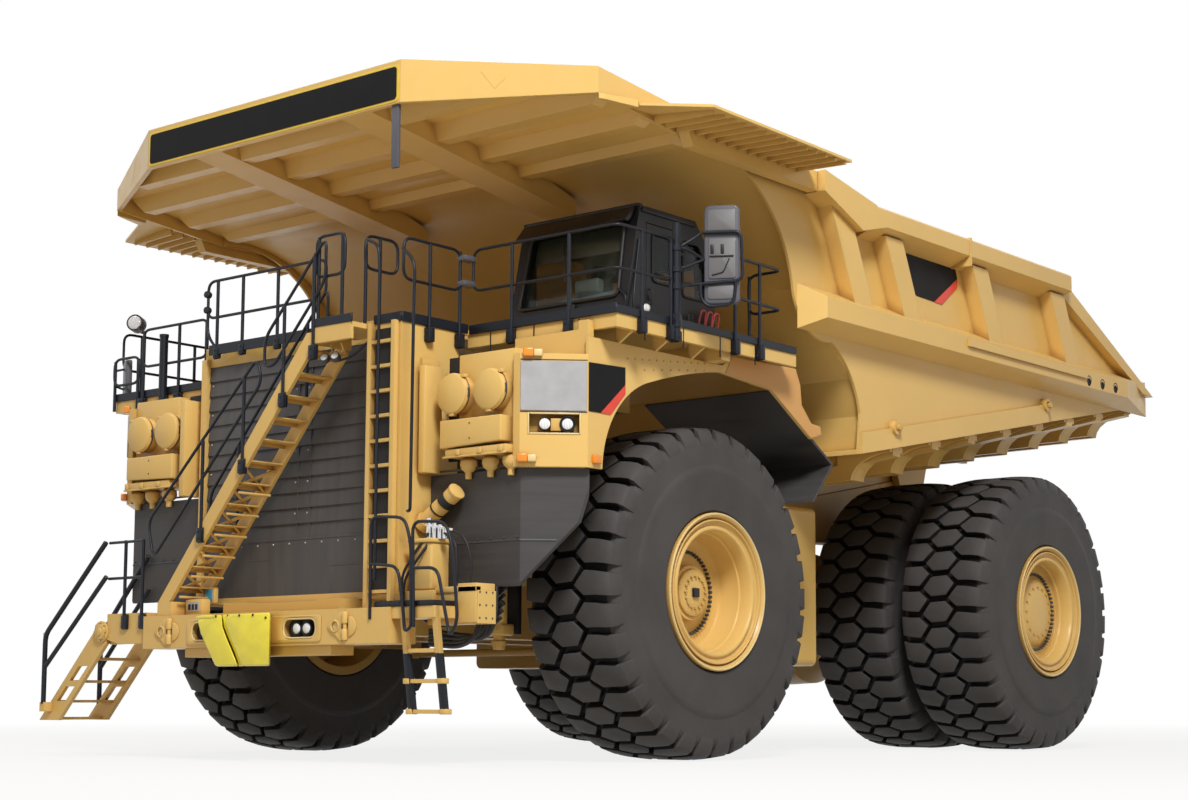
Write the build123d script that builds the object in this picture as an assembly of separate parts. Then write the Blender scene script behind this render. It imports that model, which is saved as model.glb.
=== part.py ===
from build123d import *
import os
from math import atan, cos, hypot

os.makedirs("parts", exist_ok=True)

# Mining dump truck, millimetres.  Its front faces -Y, its left is +X and +Z is up.
# While it is modelled, y is measured from the front axle and z from the ground;
# save() moves every piece so that the origin is under the middle of the truck.

# ---- driving dimensions -------------------------------------------------------------
WHEELBASE = 7195.0
TYRE_R = 2000.0            # tread face of a standing tyre
TYRE_W = 1400.0
RIM_R = 945.0              # outer radius of the rim's flange
FRONT_TRACK = 6534.0       # between the centres of the front tyres
REAR_TRACK = 6232.0        # between the centres of the rear pairs
TWIN_SPACING = 1530.0      # between the two tyres of a pair
KINGPIN_X = 2130.0
TRUCK_MID_Y = 3615.0       # middle of the truck's length, behind the front axle

PLATE = 40.0               # body and fender sheet
PIN_GAP = 0.5              # running clearance round shafts and pins
SIDE_GAP = 8.0             # beside pieces that swing past each other

# frame
RAIL_IN = 640.0            # inner and outer faces of a frame rail
RAIL_OUT = 1030.0
RAIL_LOW = 1480.0          # underside and top of the rails ahead of the tanks
RAIL_TOP = 2100.0
FRAME_FRONT = -3350.0
BUMPER_FRONT = -3750.0
BUMPER_LOW = 1330.0
BUMPER_TOP = 1730.0
BUMPER_RIGHT = -2050.0      # its two ends
BUMPER_LEFT = 2300.0

# dump body
BODY_HALF = 4280.0         # outer face of the side sheets
RAIL_HALF = 4600.0         # outer face of the top and middle rails
FLOOR_FRONT = 2600.0
FLOOR_Z = 3880.0           # underside of the floor sheet at its front edge
FLOOR_SLOPE = 0.19
FLOOR_T = 60.0
PIVOT_Y = WHEELBASE + 1805.0
PIVOT_Z = 3950.0
PIVOT_R = 110.0
FLOOR_TAIL = PIVOT_Y + 2230.0
SEAT_DROP = 760.0          # from the floor sheet down to the rails' top
SEAT_GAP = 5.0             # between the body's beams and the rails

# hoist cylinders
HOIST_X = 1350.0
HOIST_FOOT_Y = WHEELBASE - 3045.0
HOIST_FOOT_Z = 1350.0
HOIST_EYE_Y = WHEELBASE - 2295.0
HOIST_EYE_Z = 3920.0
HOIST_PIN_R = 95.0
HOIST_BARREL_R = 205.0

# deck and cab
DECK_Z = 4980.0            # walking surface round the cab
RIGHT_DECK_Z = 4740.0      # walking surface over the right wheel
DECK_BAND = 160.0          # height of the edge band
DECK_T = 60.0
DECK_HALF = 4330.0
DECK_FRONT = -2330.0
DECK_REAR = 1130.0
RIGHT_DECK_FRONT = -2600.0
CAB_X0 = 1850.0
CAB_X1 = 3700.0
CAB_FRONT = -1420.0
CAB_REAR = 320.0
CAB_TOP = 6520.0
CAB_WALL = 70.0


# ---- shapes used again and again ----------------------------------------------------
def block(x0, x1, y0, y1, z0, z1):
    """A box between six faces."""
    centre = Pos((x0 + x1) / 2, (y0 + y1) / 2, (z0 + z1) / 2)
    return centre * Box(abs(x1 - x0), abs(y1 - y0), abs(z1 - z0))


def side_cut(outline, x0, x1):
    """A plate with an outline of (y, z) points, between two x planes."""
    face = make_face(Polyline(*outline, close=True))
    return extrude(Plane.YZ.offset(x0) * face, x1 - x0)


def front_cut(outline, y0, y1):
    """A plate with an outline of (x, z) points, from y0 back to y1."""
    face = make_face(Polyline(*outline, close=True))
    return extrude(Plane.XZ.offset(-y1) * face, y1 - y0)


def plan_cut(outline, z0, z1):
    """A plate with an outline of (x, y) points, between two heights."""
    face = make_face(Polyline(*outline, close=True))
    return extrude(Plane.XY.offset(z0) * face, z1 - z0)


def bar(start, end, r):
    """A round bar or tube body between two points."""
    a, b = Vector(*start), Vector(*end)
    return Plane(origin=a, z_dir=b - a) * extrude(Circle(r), (b - a).length)


def rail_tube(start, end, r):
    """A handrail's straight run, with six flats to keep it light."""
    a, b = Vector(*start), Vector(*end)
    return Plane(origin=a, z_dir=b - a) * extrude(RegularPolygon(r, 6), (b - a).length)


def beam(start, end, wide, high):
    """A rectangular bar between two points, level from side to side."""
    a, b = Vector(*start), Vector(*end)
    along = (b - a).normalized()
    level = Vector(0, 0, 1).cross(along)
    place = Plane(origin=a, x_dir=level, z_dir=along)
    return place * extrude(Rectangle(wide, high), (b - a).length)


def axle_x(x0, x1, y, z, r):
    """A cylinder lying along X."""
    return bar((x0, y, z), (x1, y, z), r)


def spun_x(profile, y, z):
    """A ring or disc spun about an X line from a profile of (x, radius) points."""
    face = make_face(Polyline(*profile, close=True))
    return Pos(0, y, z) * revolve(face, Axis.X)


def spun_z(profile, x, y):
    """A bowl or boss spun about an upright line from a profile of (radius, z) points."""
    face = Plane.XZ * make_face(Polyline(*profile, close=True))
    return Pos(x, y, 0) * revolve(face, Axis.Z)


def other_side(piece):
    return mirror(piece, about=Plane.YZ)


def fused(pieces):
    total = pieces[0]
    return total.fuse(*pieces[1:]) if len(pieces) > 1 else total


def both_sides(piece):
    return [piece, other_side(piece)]


def save(name, *solids):
    """Write one node: its solids, moved to the truck's own origin."""
    moved = [Pos(0, -TRUCK_MID_Y, 0) * s for s in solids]
    shape = moved[0] if len(moved) == 1 else Compound(children=moved)
    export_step(shape, f"parts/{name}.step")


def floor_z(y):
    """Underside of the dump body's floor sheet."""
    return FLOOR_Z + FLOOR_SLOPE * (y - FLOOR_FRONT)


def floor_top(y):
    return floor_z(y) + FLOOR_T


def seat_z(y):
    """Top of the frame rails where the body's beams lie on them."""
    return floor_z(y) - SEAT_DROP


# ---- wheels ------------------------------------------------------------------------
HALF_W = TYRE_W / 2
FRONT_X = FRONT_TRACK / 2
INNER_X = REAR_TRACK / 2 - TWIN_SPACING / 2
OUTER_X = REAR_TRACK / 2 + TWIN_SPACING / 2
BEAD_SEAT_R = RIM_R - 25.0
BULGE_R = 1370.0           # radius at which the sidewall is widest
SPINDLE_R = 330.0
SPINDLE_END = FRONT_X + 293.0
AXLE_TUBE_R = 470.0
AXLE_END = OUTER_X + 19.0
WEB_GAP = 5.0              # between a hub's end plate and the shaft in it
RIM_BORE = RIM_R - 145.0


def tyre(x_mid):
    """A tyre: bead, bulged sidewall, shoulder and a slightly crowned tread face."""
    bead = (HALF_W * 0.72, BEAD_SEAT_R)
    wall = (HALF_W * 0.93, TYRE_R - 230)
    edge = (HALF_W * 0.9, TYRE_R - 90)
    crown = (HALF_W * 0.78, TYRE_R - 22)

    def flip(point):
        return (-point[0], point[1])

    with BuildPart() as part:
        with BuildSketch(Plane.XY):
            with BuildLine():
                Line(flip(bead), bead)
                ThreePointArc(bead, (HALF_W, BULGE_R), wall)
                ThreePointArc(wall, edge, crown)
                ThreePointArc(crown, (0, TYRE_R), flip(crown))
                ThreePointArc(flip(crown), flip(edge), flip(wall))
                ThreePointArc(flip(wall), (-HALF_W, BULGE_R), flip(bead))
            make_face()
        revolve(axis=Axis.X)
    return Pos(x_mid, 0, 0) * part.part


def front_rim():
    """Deep front rim with its flanges, dish, hub and hub cap, open towards the spindle."""
    outer, inner = FRONT_X + HALF_W, FRONT_X - HALF_W
    bore = SPINDLE_R + PIN_GAP
    seat_r = BEAD_SEAT_R - PIN_GAP
    profile = [
        (outer + 10, RIM_R), (outer - 45, RIM_R), (outer - 60, seat_r), (outer - 190, seat_r),
        (inner + 190, seat_r), (inner + 60, seat_r), (inner + 45, RIM_R), (inner + 5, RIM_R),
        (inner + 5, RIM_BORE + 30), (inner + 330, RIM_BORE), (outer - 520, RIM_BORE - 20),
        (outer - 560, 560), (inner + 330, 540), (inner + 330, bore),
        (SPINDLE_END + WEB_GAP, bore), (SPINDLE_END + WEB_GAP, 0),
        (outer - 250, 0), (outer - 250, 250), (outer - 300, 290), (outer - 420, 300),
        (outer - 420, 560), (outer - 400, RIM_R - 245), (outer - 350, RIM_R - 155),
        (outer - 60, RIM_R - 95), (outer + 10, RIM_R - 40),
    ]
    return spun_x(profile, 0, 0)


def rear_rims():
    """Both rims of a rear pair, joined by the spacer and the final drive's case."""
    outer, inner = OUTER_X + HALF_W, INNER_X - HALF_W
    mid_out, mid_in = OUTER_X - HALF_W, INNER_X + HALF_W
    bore = AXLE_TUBE_R + PIN_GAP
    seat_r = BEAD_SEAT_R - PIN_GAP
    profile = [
        (outer + 10, RIM_R), (outer - 45, RIM_R), (outer - 60, seat_r), (mid_out + 60, seat_r),
        (mid_out + 45, RIM_R), (mid_in - 45, RIM_R), (mid_in - 60, seat_r), (inner + 60, seat_r),
        (inner + 45, RIM_R), (inner + 5, RIM_R), (inner + 5, RIM_BORE + 30), (inner + 260, RIM_BORE),
        (inner + 300, bore), (AXLE_END + WEB_GAP, bore), (AXLE_END + WEB_GAP, 0),
        (outer - 250, 0), (outer - 250, 300), (outer - 300, 340), (outer - 560, 380),
        (outer - 560, 640), (outer - 520, RIM_R - 205), (outer - 440, RIM_BORE),
        (outer - 60, RIM_R - 95), (outer + 10, RIM_R - 40),
    ]
    return spun_x(profile, 0, 0)


def save_wheels():
    front_tyre = Pos(0, 0, TYRE_R) * tyre(FRONT_X)
    front_hub = Pos(0, 0, TYRE_R) * front_rim()
    rear_place = Pos(0, WHEELBASE, TYRE_R)
    twin_tyres = [rear_place * tyre(INNER_X), rear_place * tyre(OUTER_X)]
    twin_rims = rear_place * rear_rims()
    save("front_left_tyre", front_tyre)
    save("front_right_tyre", other_side(front_tyre))
    save("front_left_rim", front_hub)
    save("front_right_rim", other_side(front_hub))
    save("rear_left_tyres", *twin_tyres)
    save("rear_right_tyres", *[other_side(t) for t in twin_tyres])
    save("rear_left_rims", twin_rims)
    save("rear_right_rims", other_side(twin_rims))


# ---- steering knuckles ---------------------------------------------------------------
STRUT_ROD_R = 190.0
STRUT_R = 300.0
STRUT_FOOT_Z = 2560.0      # where the strut's rod enters its housing
STRUT_TOP_Z = 3900.0
ROD_IN = 240.0             # length of rod inside the housing
ARM_X = KINGPIN_X          # tie rod's pin on the steering arm
ARM_Y = 900.0
ARM_Z = 1480.0
ARM_T = 120.0
ARM_PIN_R = 45.0
TIE_T = 120.0
TIE_Z = ARM_Z - ARM_T / 2 - SIDE_GAP + 3 - TIE_T / 2


def knuckle():
    """Strut rod, spindle and steering arm of the left front wheel, in one casting."""
    pieces = [
        bar((KINGPIN_X, 0, 1500), (KINGPIN_X, 0, STRUT_FOOT_Z + ROD_IN), STRUT_ROD_R),
        bar((KINGPIN_X, 0, ARM_Z - ARM_T / 2), (KINGPIN_X, 0, STRUT_FOOT_Z - 140), 300),
        axle_x(KINGPIN_X, SPINDLE_END, 0, TYRE_R, SPINDLE_R),
        axle_x(KINGPIN_X, KINGPIN_X + 350, 0, TYRE_R, SPINDLE_R + 90),
        beam((KINGPIN_X, 0, ARM_Z), (ARM_X, ARM_Y, ARM_Z), 260, ARM_T),
        bar((ARM_X, ARM_Y, ARM_Z - ARM_T / 2), (ARM_X, ARM_Y, ARM_Z + ARM_T / 2), 130),
        bar((ARM_X, ARM_Y, TIE_Z - TIE_T / 2), (ARM_X, ARM_Y, ARM_Z), ARM_PIN_R),
    ]
    return fused(pieces)


def tie_rod():
    """The bar that joins both steering arms; its eyes turn on the arms' pins."""
    low, high = TIE_Z - TIE_T / 2, TIE_Z + TIE_T / 2
    eye = bar((ARM_X, ARM_Y, low), (ARM_X, ARM_Y, high), 100)
    hole = bar((ARM_X, ARM_Y, low - 10), (ARM_X, ARM_Y, high + 10), ARM_PIN_R + PIN_GAP)
    tube = bar((-ARM_X, ARM_Y, TIE_Z), (ARM_X, ARM_Y, TIE_Z), 50)
    whole = fused([tube] + both_sides(eye))
    return whole - hole - other_side(hole)


def save_steering():
    left = knuckle()
    save("left_knuckle", left)
    save("right_knuckle", other_side(left))
    save("tie_rod", tie_rod())


# ---- frame and axle ------------------------------------------------------------------
# the rails' rear ends are round about the body's pin, so that the beams roll past them
KNUCKLE_R = (seat_z(PIVOT_Y) - PIVOT_Z) * cos(atan(FLOOR_SLOPE)) - 10.0
ARCH_Y = WHEELBASE - 900.0     # front of the rails' rise over the rear axle
REAR_LUG_Z = TYRE_R + 150.0    # seat of a rear strut on the axle
REAR_STRUT_X = 1280.0
REAR_STRUT_Y = WHEELBASE + 850.0
STRUT_BEAM_TOP = 3880.0


def frame_rail():
    """One box rail: level at the front, kicked up over the rear axle to the body's pin."""
    outline = [
        (FRAME_FRONT, BUMPER_LOW + 50), (FRAME_FRONT, 1880), (-2500, 1880), (-2300, RAIL_TOP),
        (1500, RAIL_TOP), (2900, seat_z(2900)), (PIVOT_Y - 90, seat_z(PIVOT_Y - 90)),
        (PIVOT_Y, PIVOT_Z + KNUCKLE_R - 8), (PIVOT_Y, PIVOT_Z - KNUCKLE_R + 8),
        (PIVOT_Y - 300, 3500), (PIVOT_Y - 700, 3180), (ARCH_Y - 95, 3120), (ARCH_Y - 945, 2500),
        (HOIST_FOOT_Y + 550, 1420), (HOIST_FOOT_Y - 250, 1300), (HOIST_FOOT_Y - 850, 1300),
        (2300, RAIL_LOW), (-2500, RAIL_LOW),
    ]
    knuckle_end = axle_x(RAIL_IN, RAIL_OUT, PIVOT_Y, PIVOT_Z, KNUCKLE_R)
    return side_cut(outline, RAIL_IN, RAIL_OUT) + knuckle_end


def main_frame():
    """Rails, crossmembers, strut crossbeam, pivot pin and the hoists' foot pins."""
    pieces = both_sides(frame_rail())
    for y0, y1, z0, z1 in [(FRAME_FRONT, -2950, 1450, 1860), (-300, 300, 1500, 2050),
                           (3300, 3700, 1500, 2500), (PIVOT_Y - 850, PIVOT_Y - 450, 3300, 3800)]:
        pieces.append(block(-RAIL_IN, RAIL_IN, y0, y1, z0, z1))
    beam_end = KINGPIN_X - STRUT_R - 20
    strut_beam = front_cut([(-beam_end, 3420), (-RAIL_OUT, 2150), (-RAIL_OUT, 1500),
                            (RAIL_OUT, 1500), (RAIL_OUT, 2150), (beam_end, 3420),
                            (beam_end, STRUT_BEAM_TOP), (-beam_end, STRUT_BEAM_TOP)], -330, 330)
    tunnel = block(-560, 560, -340, 340, RAIL_TOP, STRUT_BEAM_TOP + 10)
    pieces.append(strut_beam - tunnel)
    foot_pin = axle_x(RAIL_OUT - 10, HOIST_X + 215, HOIST_FOOT_Y, HOIST_FOOT_Z, HOIST_PIN_R)
    foot_web = side_cut([(HOIST_FOOT_Y - 250, 1310), (HOIST_FOOT_Y - 120, HOIST_FOOT_Z - 150),
                         (HOIST_FOOT_Y + 120, HOIST_FOOT_Z - 150), (HOIST_FOOT_Y + 400, 1600),
                         (HOIST_FOOT_Y - 250, 1600)], RAIL_IN, RAIL_OUT)
    pieces += both_sides(foot_pin) + both_sides(foot_web)
    pivot_end = RAIL_OUT + 260
    pivot_pin = axle_x(-pivot_end, pivot_end, PIVOT_Y, PIVOT_Z, PIVOT_R)
    return fused(pieces).fuse(pivot_pin)


def rear_axle():
    """Axle housing with its round belly, tubes into the wheels and the A-frame ahead."""
    profile = [(0, 0), (0, 1040), (420, 1020), (760, 760), (1560, 600), (1600, 600),
               (1600, AXLE_TUBE_R), (AXLE_END, AXLE_TUBE_R), (AXLE_END, 0)]
    half = spun_x(profile, WHEELBASE, TYRE_R)
    arm = beam((750, WHEELBASE - 500, TYRE_R - 150), (180, HOIST_FOOT_Y + 150, 1900), 330, 420)
    lug = block(REAR_STRUT_X - 170, REAR_STRUT_X + 170, REAR_STRUT_Y - 400, REAR_STRUT_Y + 190,
                REAR_LUG_Z - 220, REAR_LUG_Z)
    pieces = both_sides(half) + both_sides(arm) + both_sides(lug)
    pieces.append(block(-330, 330, 4000, HOIST_FOOT_Y + 350, 1720, 2100))
    pieces.append(block(-250, 250, 3700, 4050, 1780, 2060))
    return fused(pieces)


def struts():
    """Oil and gas struts: two front housings on the crossbeam, two rear ones on the axle."""
    front = bar((KINGPIN_X, 0, STRUT_FOOT_Z), (KINGPIN_X, 0, STRUT_TOP_Z), STRUT_R)
    front += block(KINGPIN_X - STRUT_R - 20, KINGPIN_X - 100, -200, 200, 3450, 3850)
    front -= bar((KINGPIN_X, 0, STRUT_FOOT_Z - 10), (KINGPIN_X, 0, STRUT_FOOT_Z + ROD_IN + 10),
                 STRUT_ROD_R + PIN_GAP)
    x, y, top = REAR_STRUT_X, REAR_STRUT_Y, 3600
    rear = bar((x, y, REAR_LUG_Z), (x, y, top), 170)
    rear += bar((x, y, 2800), (x, y, top), 215)
    rear += block(RAIL_OUT, x + 50, y - 150, y + 150, top - 180, top + 40)
    return both_sides(front) + both_sides(rear)


def engine():
    """The engine as one plain block, its feet on both rails."""
    feet = block(-RAIL_OUT, RAIL_OUT, -1500, -1200, RAIL_TOP, RAIL_TOP + 150)
    return block(-545, 545, -2550, 900, RAIL_TOP + 10, 3900) + feet


def save_frame():
    save("main_frame", main_frame())
    save("rear_axle", rear_axle())
    save("suspension_struts", *struts())
    save("engine_block", engine())


# ---- front end -------------------------------------------------------------------------
GRILLE_FRONT = -3000.0
GRILLE_X0 = -1850.0
GRILLE_X1 = 1600.0
GRILLE_LOW = 1960.0
GRILLE_TOP = 4900.0
GUARD_TOP = 2640.0         # top of the flat lower guard of the radiator cover
SURROUND_X0 = -1950.0
SURROUND_Y0 = GRILLE_FRONT - 40.0
HOOD_Z = 5150.0
COLUMN_X1 = 2050.0         # left face of the column that carries the ladder
COLUMN_FRONT = -3400.0
COLUMN_REAR = -2480.0
LAMP_X = 830.0             # lamp pockets in the bumper
LAMP_Z = 1525.0
TOW_X = 1550.0
TOW_Z = 1550.0
TOW_R = 85.0

# headlight box: its swept-back face runs between these two plan corners
FACE_IN = (3500.0, -2990.0)
FACE_OUT = (4040.0, -2470.0)
FENDER_X = FACE_OUT[0]
BOX_LOW = 3260.0
BOX_TOP = 4520.0
SKIN_TOP = 4720.0


def bumper():
    """Box bumper with two rounded lamp pockets and two tow eyes."""
    front = block(BUMPER_RIGHT, BUMPER_LEFT, BUMPER_FRONT, BUMPER_FRONT + 400, BUMPER_LOW,
                  BUMPER_TOP)
    under = block(-1300, 1300, BUMPER_FRONT + 60, BUMPER_FRONT + 400, BUMPER_LOW - 110, BUMPER_LOW)
    pocket = fillet(Box(560, 160, 240).edges().filter_by(Axis.Y), 110)
    front += under
    for x in (-LAMP_X, LAMP_X):
        front -= Pos(x, BUMPER_FRONT, LAMP_Z) * pocket
    for x in (-TOW_X, TOW_X):
        front -= bar((x, BUMPER_FRONT - 10, TOW_Z), (x, BUMPER_FRONT + 410, TOW_Z), TOW_R)
    return front


def grille():
    """Radiator cover: twelve sheets lapped like shingles over a flat lower guard."""
    x0, x1 = GRILLE_X0, GRILLE_X1
    back = GRILLE_FRONT + 120
    sheets = 12
    pitch = (GRILLE_TOP - GUARD_TOP) / sheets
    outline = [(back, GRILLE_LOW), (GRILLE_FRONT, GRILLE_LOW), (GRILLE_FRONT, GUARD_TOP)]
    for i in range(sheets):
        z = GUARD_TOP + i * pitch
        outline += [(GRILLE_FRONT + 8, z), (GRILLE_FRONT + 32, z + pitch)]
    outline.append((back, GRILLE_TOP))
    return side_cut(outline, x0, x1)


def radiator_surround():
    """Painted posts and header that frame the grille, with the hood's top behind them."""
    x0, y0, y1 = SURROUND_X0, SURROUND_Y0, -2600
    pieces = [
        block(x0, GRILLE_X0, y0, COLUMN_REAR, 1880, RIGHT_DECK_Z + 260),
        block(GRILLE_X1, COLUMN_X1, COLUMN_FRONT, COLUMN_REAR, 1880, DECK_Z + 20),
        block(x0, GRILLE_X1, y0 + 60, y1, GRILLE_TOP, HOOD_Z),
        block(GRILLE_X0, GRILLE_X1, GRILLE_FRONT + 120, y1, GRILLE_LOW, GRILLE_TOP),
        block(x0, GRILLE_X1, y0, y1, 1880, GRILLE_LOW),
        block(COLUMN_X1 - 10, COLUMN_X1 + 45, -3100, -2840, BOX_LOW, 4600),
        block(x0, GRILLE_X1 + 40, y1, -700, 4900, HOOD_Z),
        side_cut([(y1, HOOD_Z), (y1 + 120, HOOD_Z + 150), (-900, HOOD_Z + 150), (-800, HOOD_Z)],
                 -1400, 900),
    ]
    return fused(pieces)


def on_face(wide, high, deep, z):
    """A box let into the headlight box's swept-back face, centred on it."""
    a, b = Vector(*FACE_IN, z), Vector(*FACE_OUT, z)
    along = (b - a).normalized()
    place = Plane(origin=(a + b) / 2, x_dir=along, z_dir=along.cross(Vector(0, 0, 1)))
    return place * Box(wide, high, deep)


SLOT_Z = 3740.0            # middle of the lamp slot in the headlight box


def fender():
    """Left headlight box with its side skin, arched over the wheel."""
    x0, x1 = FACE_IN[0] - 100, FENDER_X
    back_y = FACE_OUT[1] + 40
    wall = PLATE * 1.45
    with BuildPart() as skin:
        with BuildSketch(Plane.YZ.offset(x1 - PLATE)):
            with BuildLine():
                Polyline((-60, 4630), (1010, 4540), (1870, 4020), (2120, 4100), (2080, 4200),
                         (1880, 4220), (1670, 4430), (1640, 4680), (1540, 4880), (180, 4860),
                         (0, SKIN_TOP), (back_y - 40, SKIN_TOP), (back_y - 40, BOX_LOW),
                         (-2220, BOX_LOW))
                ThreePointArc((-2220, BOX_LOW), (-1900, 4030), (-1380, 4340))
                ThreePointArc((-1380, 4340), (-700, 4520), (-60, 4630))
            make_face()
        extrude(amount=PLATE)
    corners = [(x0, FACE_IN[1]), FACE_IN, FACE_OUT, (x1, back_y), (x0, back_y)]
    hollow_corners = [(x0 + wall, FACE_IN[1] + wall), (FACE_IN[0] - 10, FACE_IN[1] + wall),
                      (x1 - wall, FACE_OUT[1] - 25), (x1 - wall, back_y + 10),
                      (x0 + wall, back_y + 10)]
    box = plan_cut(corners, BOX_LOW, BOX_TOP)
    box -= plan_cut(hollow_corners, BOX_LOW + PLATE, BOX_TOP - PLATE)
    box -= on_face(560, 210, 200, SLOT_Z)
    shelf = block(x0, x1 - PLATE, back_y, -1700, BOX_TOP - PLATE, BOX_TOP)
    web = block(2900, x1 - PLATE, back_y, back_y + PLATE, 3700, DECK_Z - DECK_BAND)
    post = plan_cut([(x1 - 190, back_y), (x1 - PLATE, back_y), (x1 - PLATE, DECK_FRONT)],
                    BOX_TOP, DECK_Z - DECK_T)
    pieces = [skin.part, box, shelf, web, post]
    for y in (-1950, -1290, -620):
        gusset = front_cut([(x1 - PLATE, SKIN_TOP - 120), (x1, SKIN_TOP - 120), (x1, SKIN_TOP),
                            (DECK_HALF - 60, DECK_Z - DECK_T - 60),
                            (DECK_HALF - 60, DECK_Z - DECK_T), (x1 - PLATE, DECK_Z - DECK_T)],
                           y, y + PLATE)
        pieces.append(gusset)
    return fused(pieces)


def right_fender():
    """The right fender sits lower: its skin and gussets end under the lower deck."""
    low = other_side(fender())
    cut = block(-DECK_HALF - 10, -2000, -3100, 2200, RIGHT_DECK_Z - DECK_T, DECK_Z + 100)
    return low - cut


CLEANER_X0 = 2200.0
CLEANER_X1 = 3400.0
CLEANER_FRONT = -3000.0
CLEANER_LOW = 3480.0


def air_cleaners():
    """Two round intake caps on a box with a tray and three dust bowls below it."""
    x0, x1, y0, z0 = CLEANER_X0, CLEANER_X1, CLEANER_FRONT, CLEANER_LOW
    pieces = [block(x0, x1, y0, -2520, z0, 4480),
              block(x0 + 220, x1, y0 - 130, y0 + 340, z0 - 110, z0)]
    for x in (x0 + 330, x0 + 890):
        pieces.append(bar((x, y0 - 110, 4150), (x, y0 + 10, 4150), 245))
    bowl = [(0, z0 - 100), (105, z0 - 110), (110, z0 - 160), (44, z0 - 250), (40, z0 - 370),
            (0, z0 - 370)]
    for x in (x0 + 485, x0 + 785, x0 + 1085):
        pieces.append(spun_z(bowl, x, y0 - 15))
    return fused(pieces)


GUARD_Y = -2900.0          # front face of the front mudguards
GUARD_T = 40.0


def front_mudguard(x_in):
    """Rubber sheet before a front wheel, folded back like the headlight box above it."""
    fold = (FACE_IN[0] - 60, GUARD_Y)
    tip = (FACE_OUT[0] - 50, GUARD_Y + 520)
    folded = plan_cut([(x_in, GUARD_Y), fold, tip, (tip[0] - 28, tip[1] + 28),
                       (fold[0] - 17, GUARD_Y + GUARD_T), (x_in, GUARD_Y + GUARD_T)],
                      1940, BOX_LOW)
    outline = front_cut([(x_in - 5, BOX_LOW + 5), (4050, BOX_LOW + 5), (3960, 2940), (3900, 2660),
                         (3420, 1960), (2350, 1960), (x_in - 5, 2350)], -3000, -2200)
    return folded & outline


def rear_mudguard():
    """Sheet behind a front wheel; its lower lip is cut back where the tyre steers."""
    x0, x1 = 2000, FENDER_X - PLATE
    side = side_cut([(1010, 4540), (1060, 4560), (2440, 3750), (1990, 3230), (1950, 3230),
                     (2385, 3742)], x0, x1)
    face = front_cut([(x0, 3520), (2650, 3520), (3000, 3380), (3500, 3225), (x1, 3225),
                      (x1, 4600), (x0, 4600)], 900, 2500)
    return side & face


def mudguards():
    """Sheets ahead of and behind each front wheel."""
    left = front_mudguard(COLUMN_X1)
    right = other_side(front_mudguard(-SURROUND_X0))
    return [left, right] + both_sides(rear_mudguard())


def deck(x_in, front, top, bands_from):
    """A deck plate on one side, with its edge band and the beam under it."""
    low = top - DECK_BAND
    plate = block(x_in, DECK_HALF, front, DECK_REAR, top - DECK_T, top)
    plate += block(bands_from, DECK_HALF, front, front + 60, low, top - DECK_T)
    plate += block(DECK_HALF - 60, DECK_HALF, front, DECK_REAR, low, top - DECK_T)
    return plate


def decks():
    """Left deck round the cab, and the lower right deck over the wheel."""
    top = DECK_Z
    left = deck(GRILLE_X1 + 40, DECK_FRONT, top, COLUMN_X1)
    left += block(GRILLE_X1 + 40, COLUMN_X1, COLUMN_REAR, DECK_FRONT, top - DECK_T, top)
    left += block(1200, GRILLE_X1 + 40, -690, 300, top - DECK_T, top)
    left += block(GRILLE_X1 + 40, DECK_HALF - 60, -330, -150, top - DECK_T - 200, top - DECK_T)
    low = RIGHT_DECK_Z
    right = deck(-SURROUND_X0, RIGHT_DECK_FRONT, low, -SURROUND_X0)
    right += block(1200, -SURROUND_X0, -690, 300, low - DECK_T, low)
    right += block(1200, FENDER_X - PLATE, -330, -150, low - DECK_T - 60, low - DECK_T)
    return left, other_side(right)


def deck_supports():
    """Posts and cross beam that carry both decks above the strut crossbeam."""
    left_top = DECK_Z - DECK_T - 200
    right_top = RIGHT_DECK_Z - DECK_T - 60
    cross = front_cut([(-2400, 4300), (2400, 4300), (2400, left_top), (1200, left_top),
                       (1000, right_top), (-2400, right_top)], -230, 230)
    legs = [block(x0, x0 + 350, -200, 200, STRUT_BEAM_TOP, 4300) for x0 in (-1500, 1150)]
    return fused([cross] + legs)


def platform():
    """Landing at the head of the stairway and the ladder."""
    x0, x1, top = STAIR_HEAD[0] + 60, LADDER_X0 - 10, DECK_Z + 20
    landing = block(x0, x1, STAIR_Y0, COLUMN_FRONT, top - DECK_T, top)
    landing += block(x0, GRILLE_X1, COLUMN_FRONT, SURROUND_Y0, top - DECK_T, top)
    landing += block(x0, x1, STAIR_Y0, STAIR_Y0 + 50, top - 200, top - DECK_T)
    landing += block(x0, x0 + 50, STAIR_Y0 + 50, STAIR_Y1, top - 200, top - DECK_T)
    return landing


def save_front():
    save("front_bumper", bumper())
    save("radiator_grille", grille())
    save("radiator_surround", radiator_surround())
    save("fenders", fender(), right_fender())
    save("air_cleaners", *both_sides(air_cleaners()))
    save("mudguards", *mudguards())
    left, right = decks()
    save("left_deck", left)
    save("right_deck", right)
    save("deck_supports", deck_supports())
    save("centre_platform", platform())


# ---- stairs and ladders ------------------------------------------------------------------
STAIR_Y0 = -3720.0         # front and rear faces of the stairway
STAIR_Y1 = -3150.0
STRINGER_T = 50.0
STAIR_FOOT = (-1700.0, 1900.0)   # (x, z)
STAIR_HEAD = (840.0, 4800.0)
TREADS = 12
LADDER_X0 = 1560.0
LADDER_X1 = 2010.0
LADDER_DEPTH = 70.0
RUNG_PITCH = 285.0
FOOT_PLATE_X = 2950.0      # left end of the step plate beside the bumper
LOW_LADDER_Z = 560.0       # foot of the short ladder under it, and how far it trails
LOW_LADDER_TRAIL = 150.0


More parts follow.
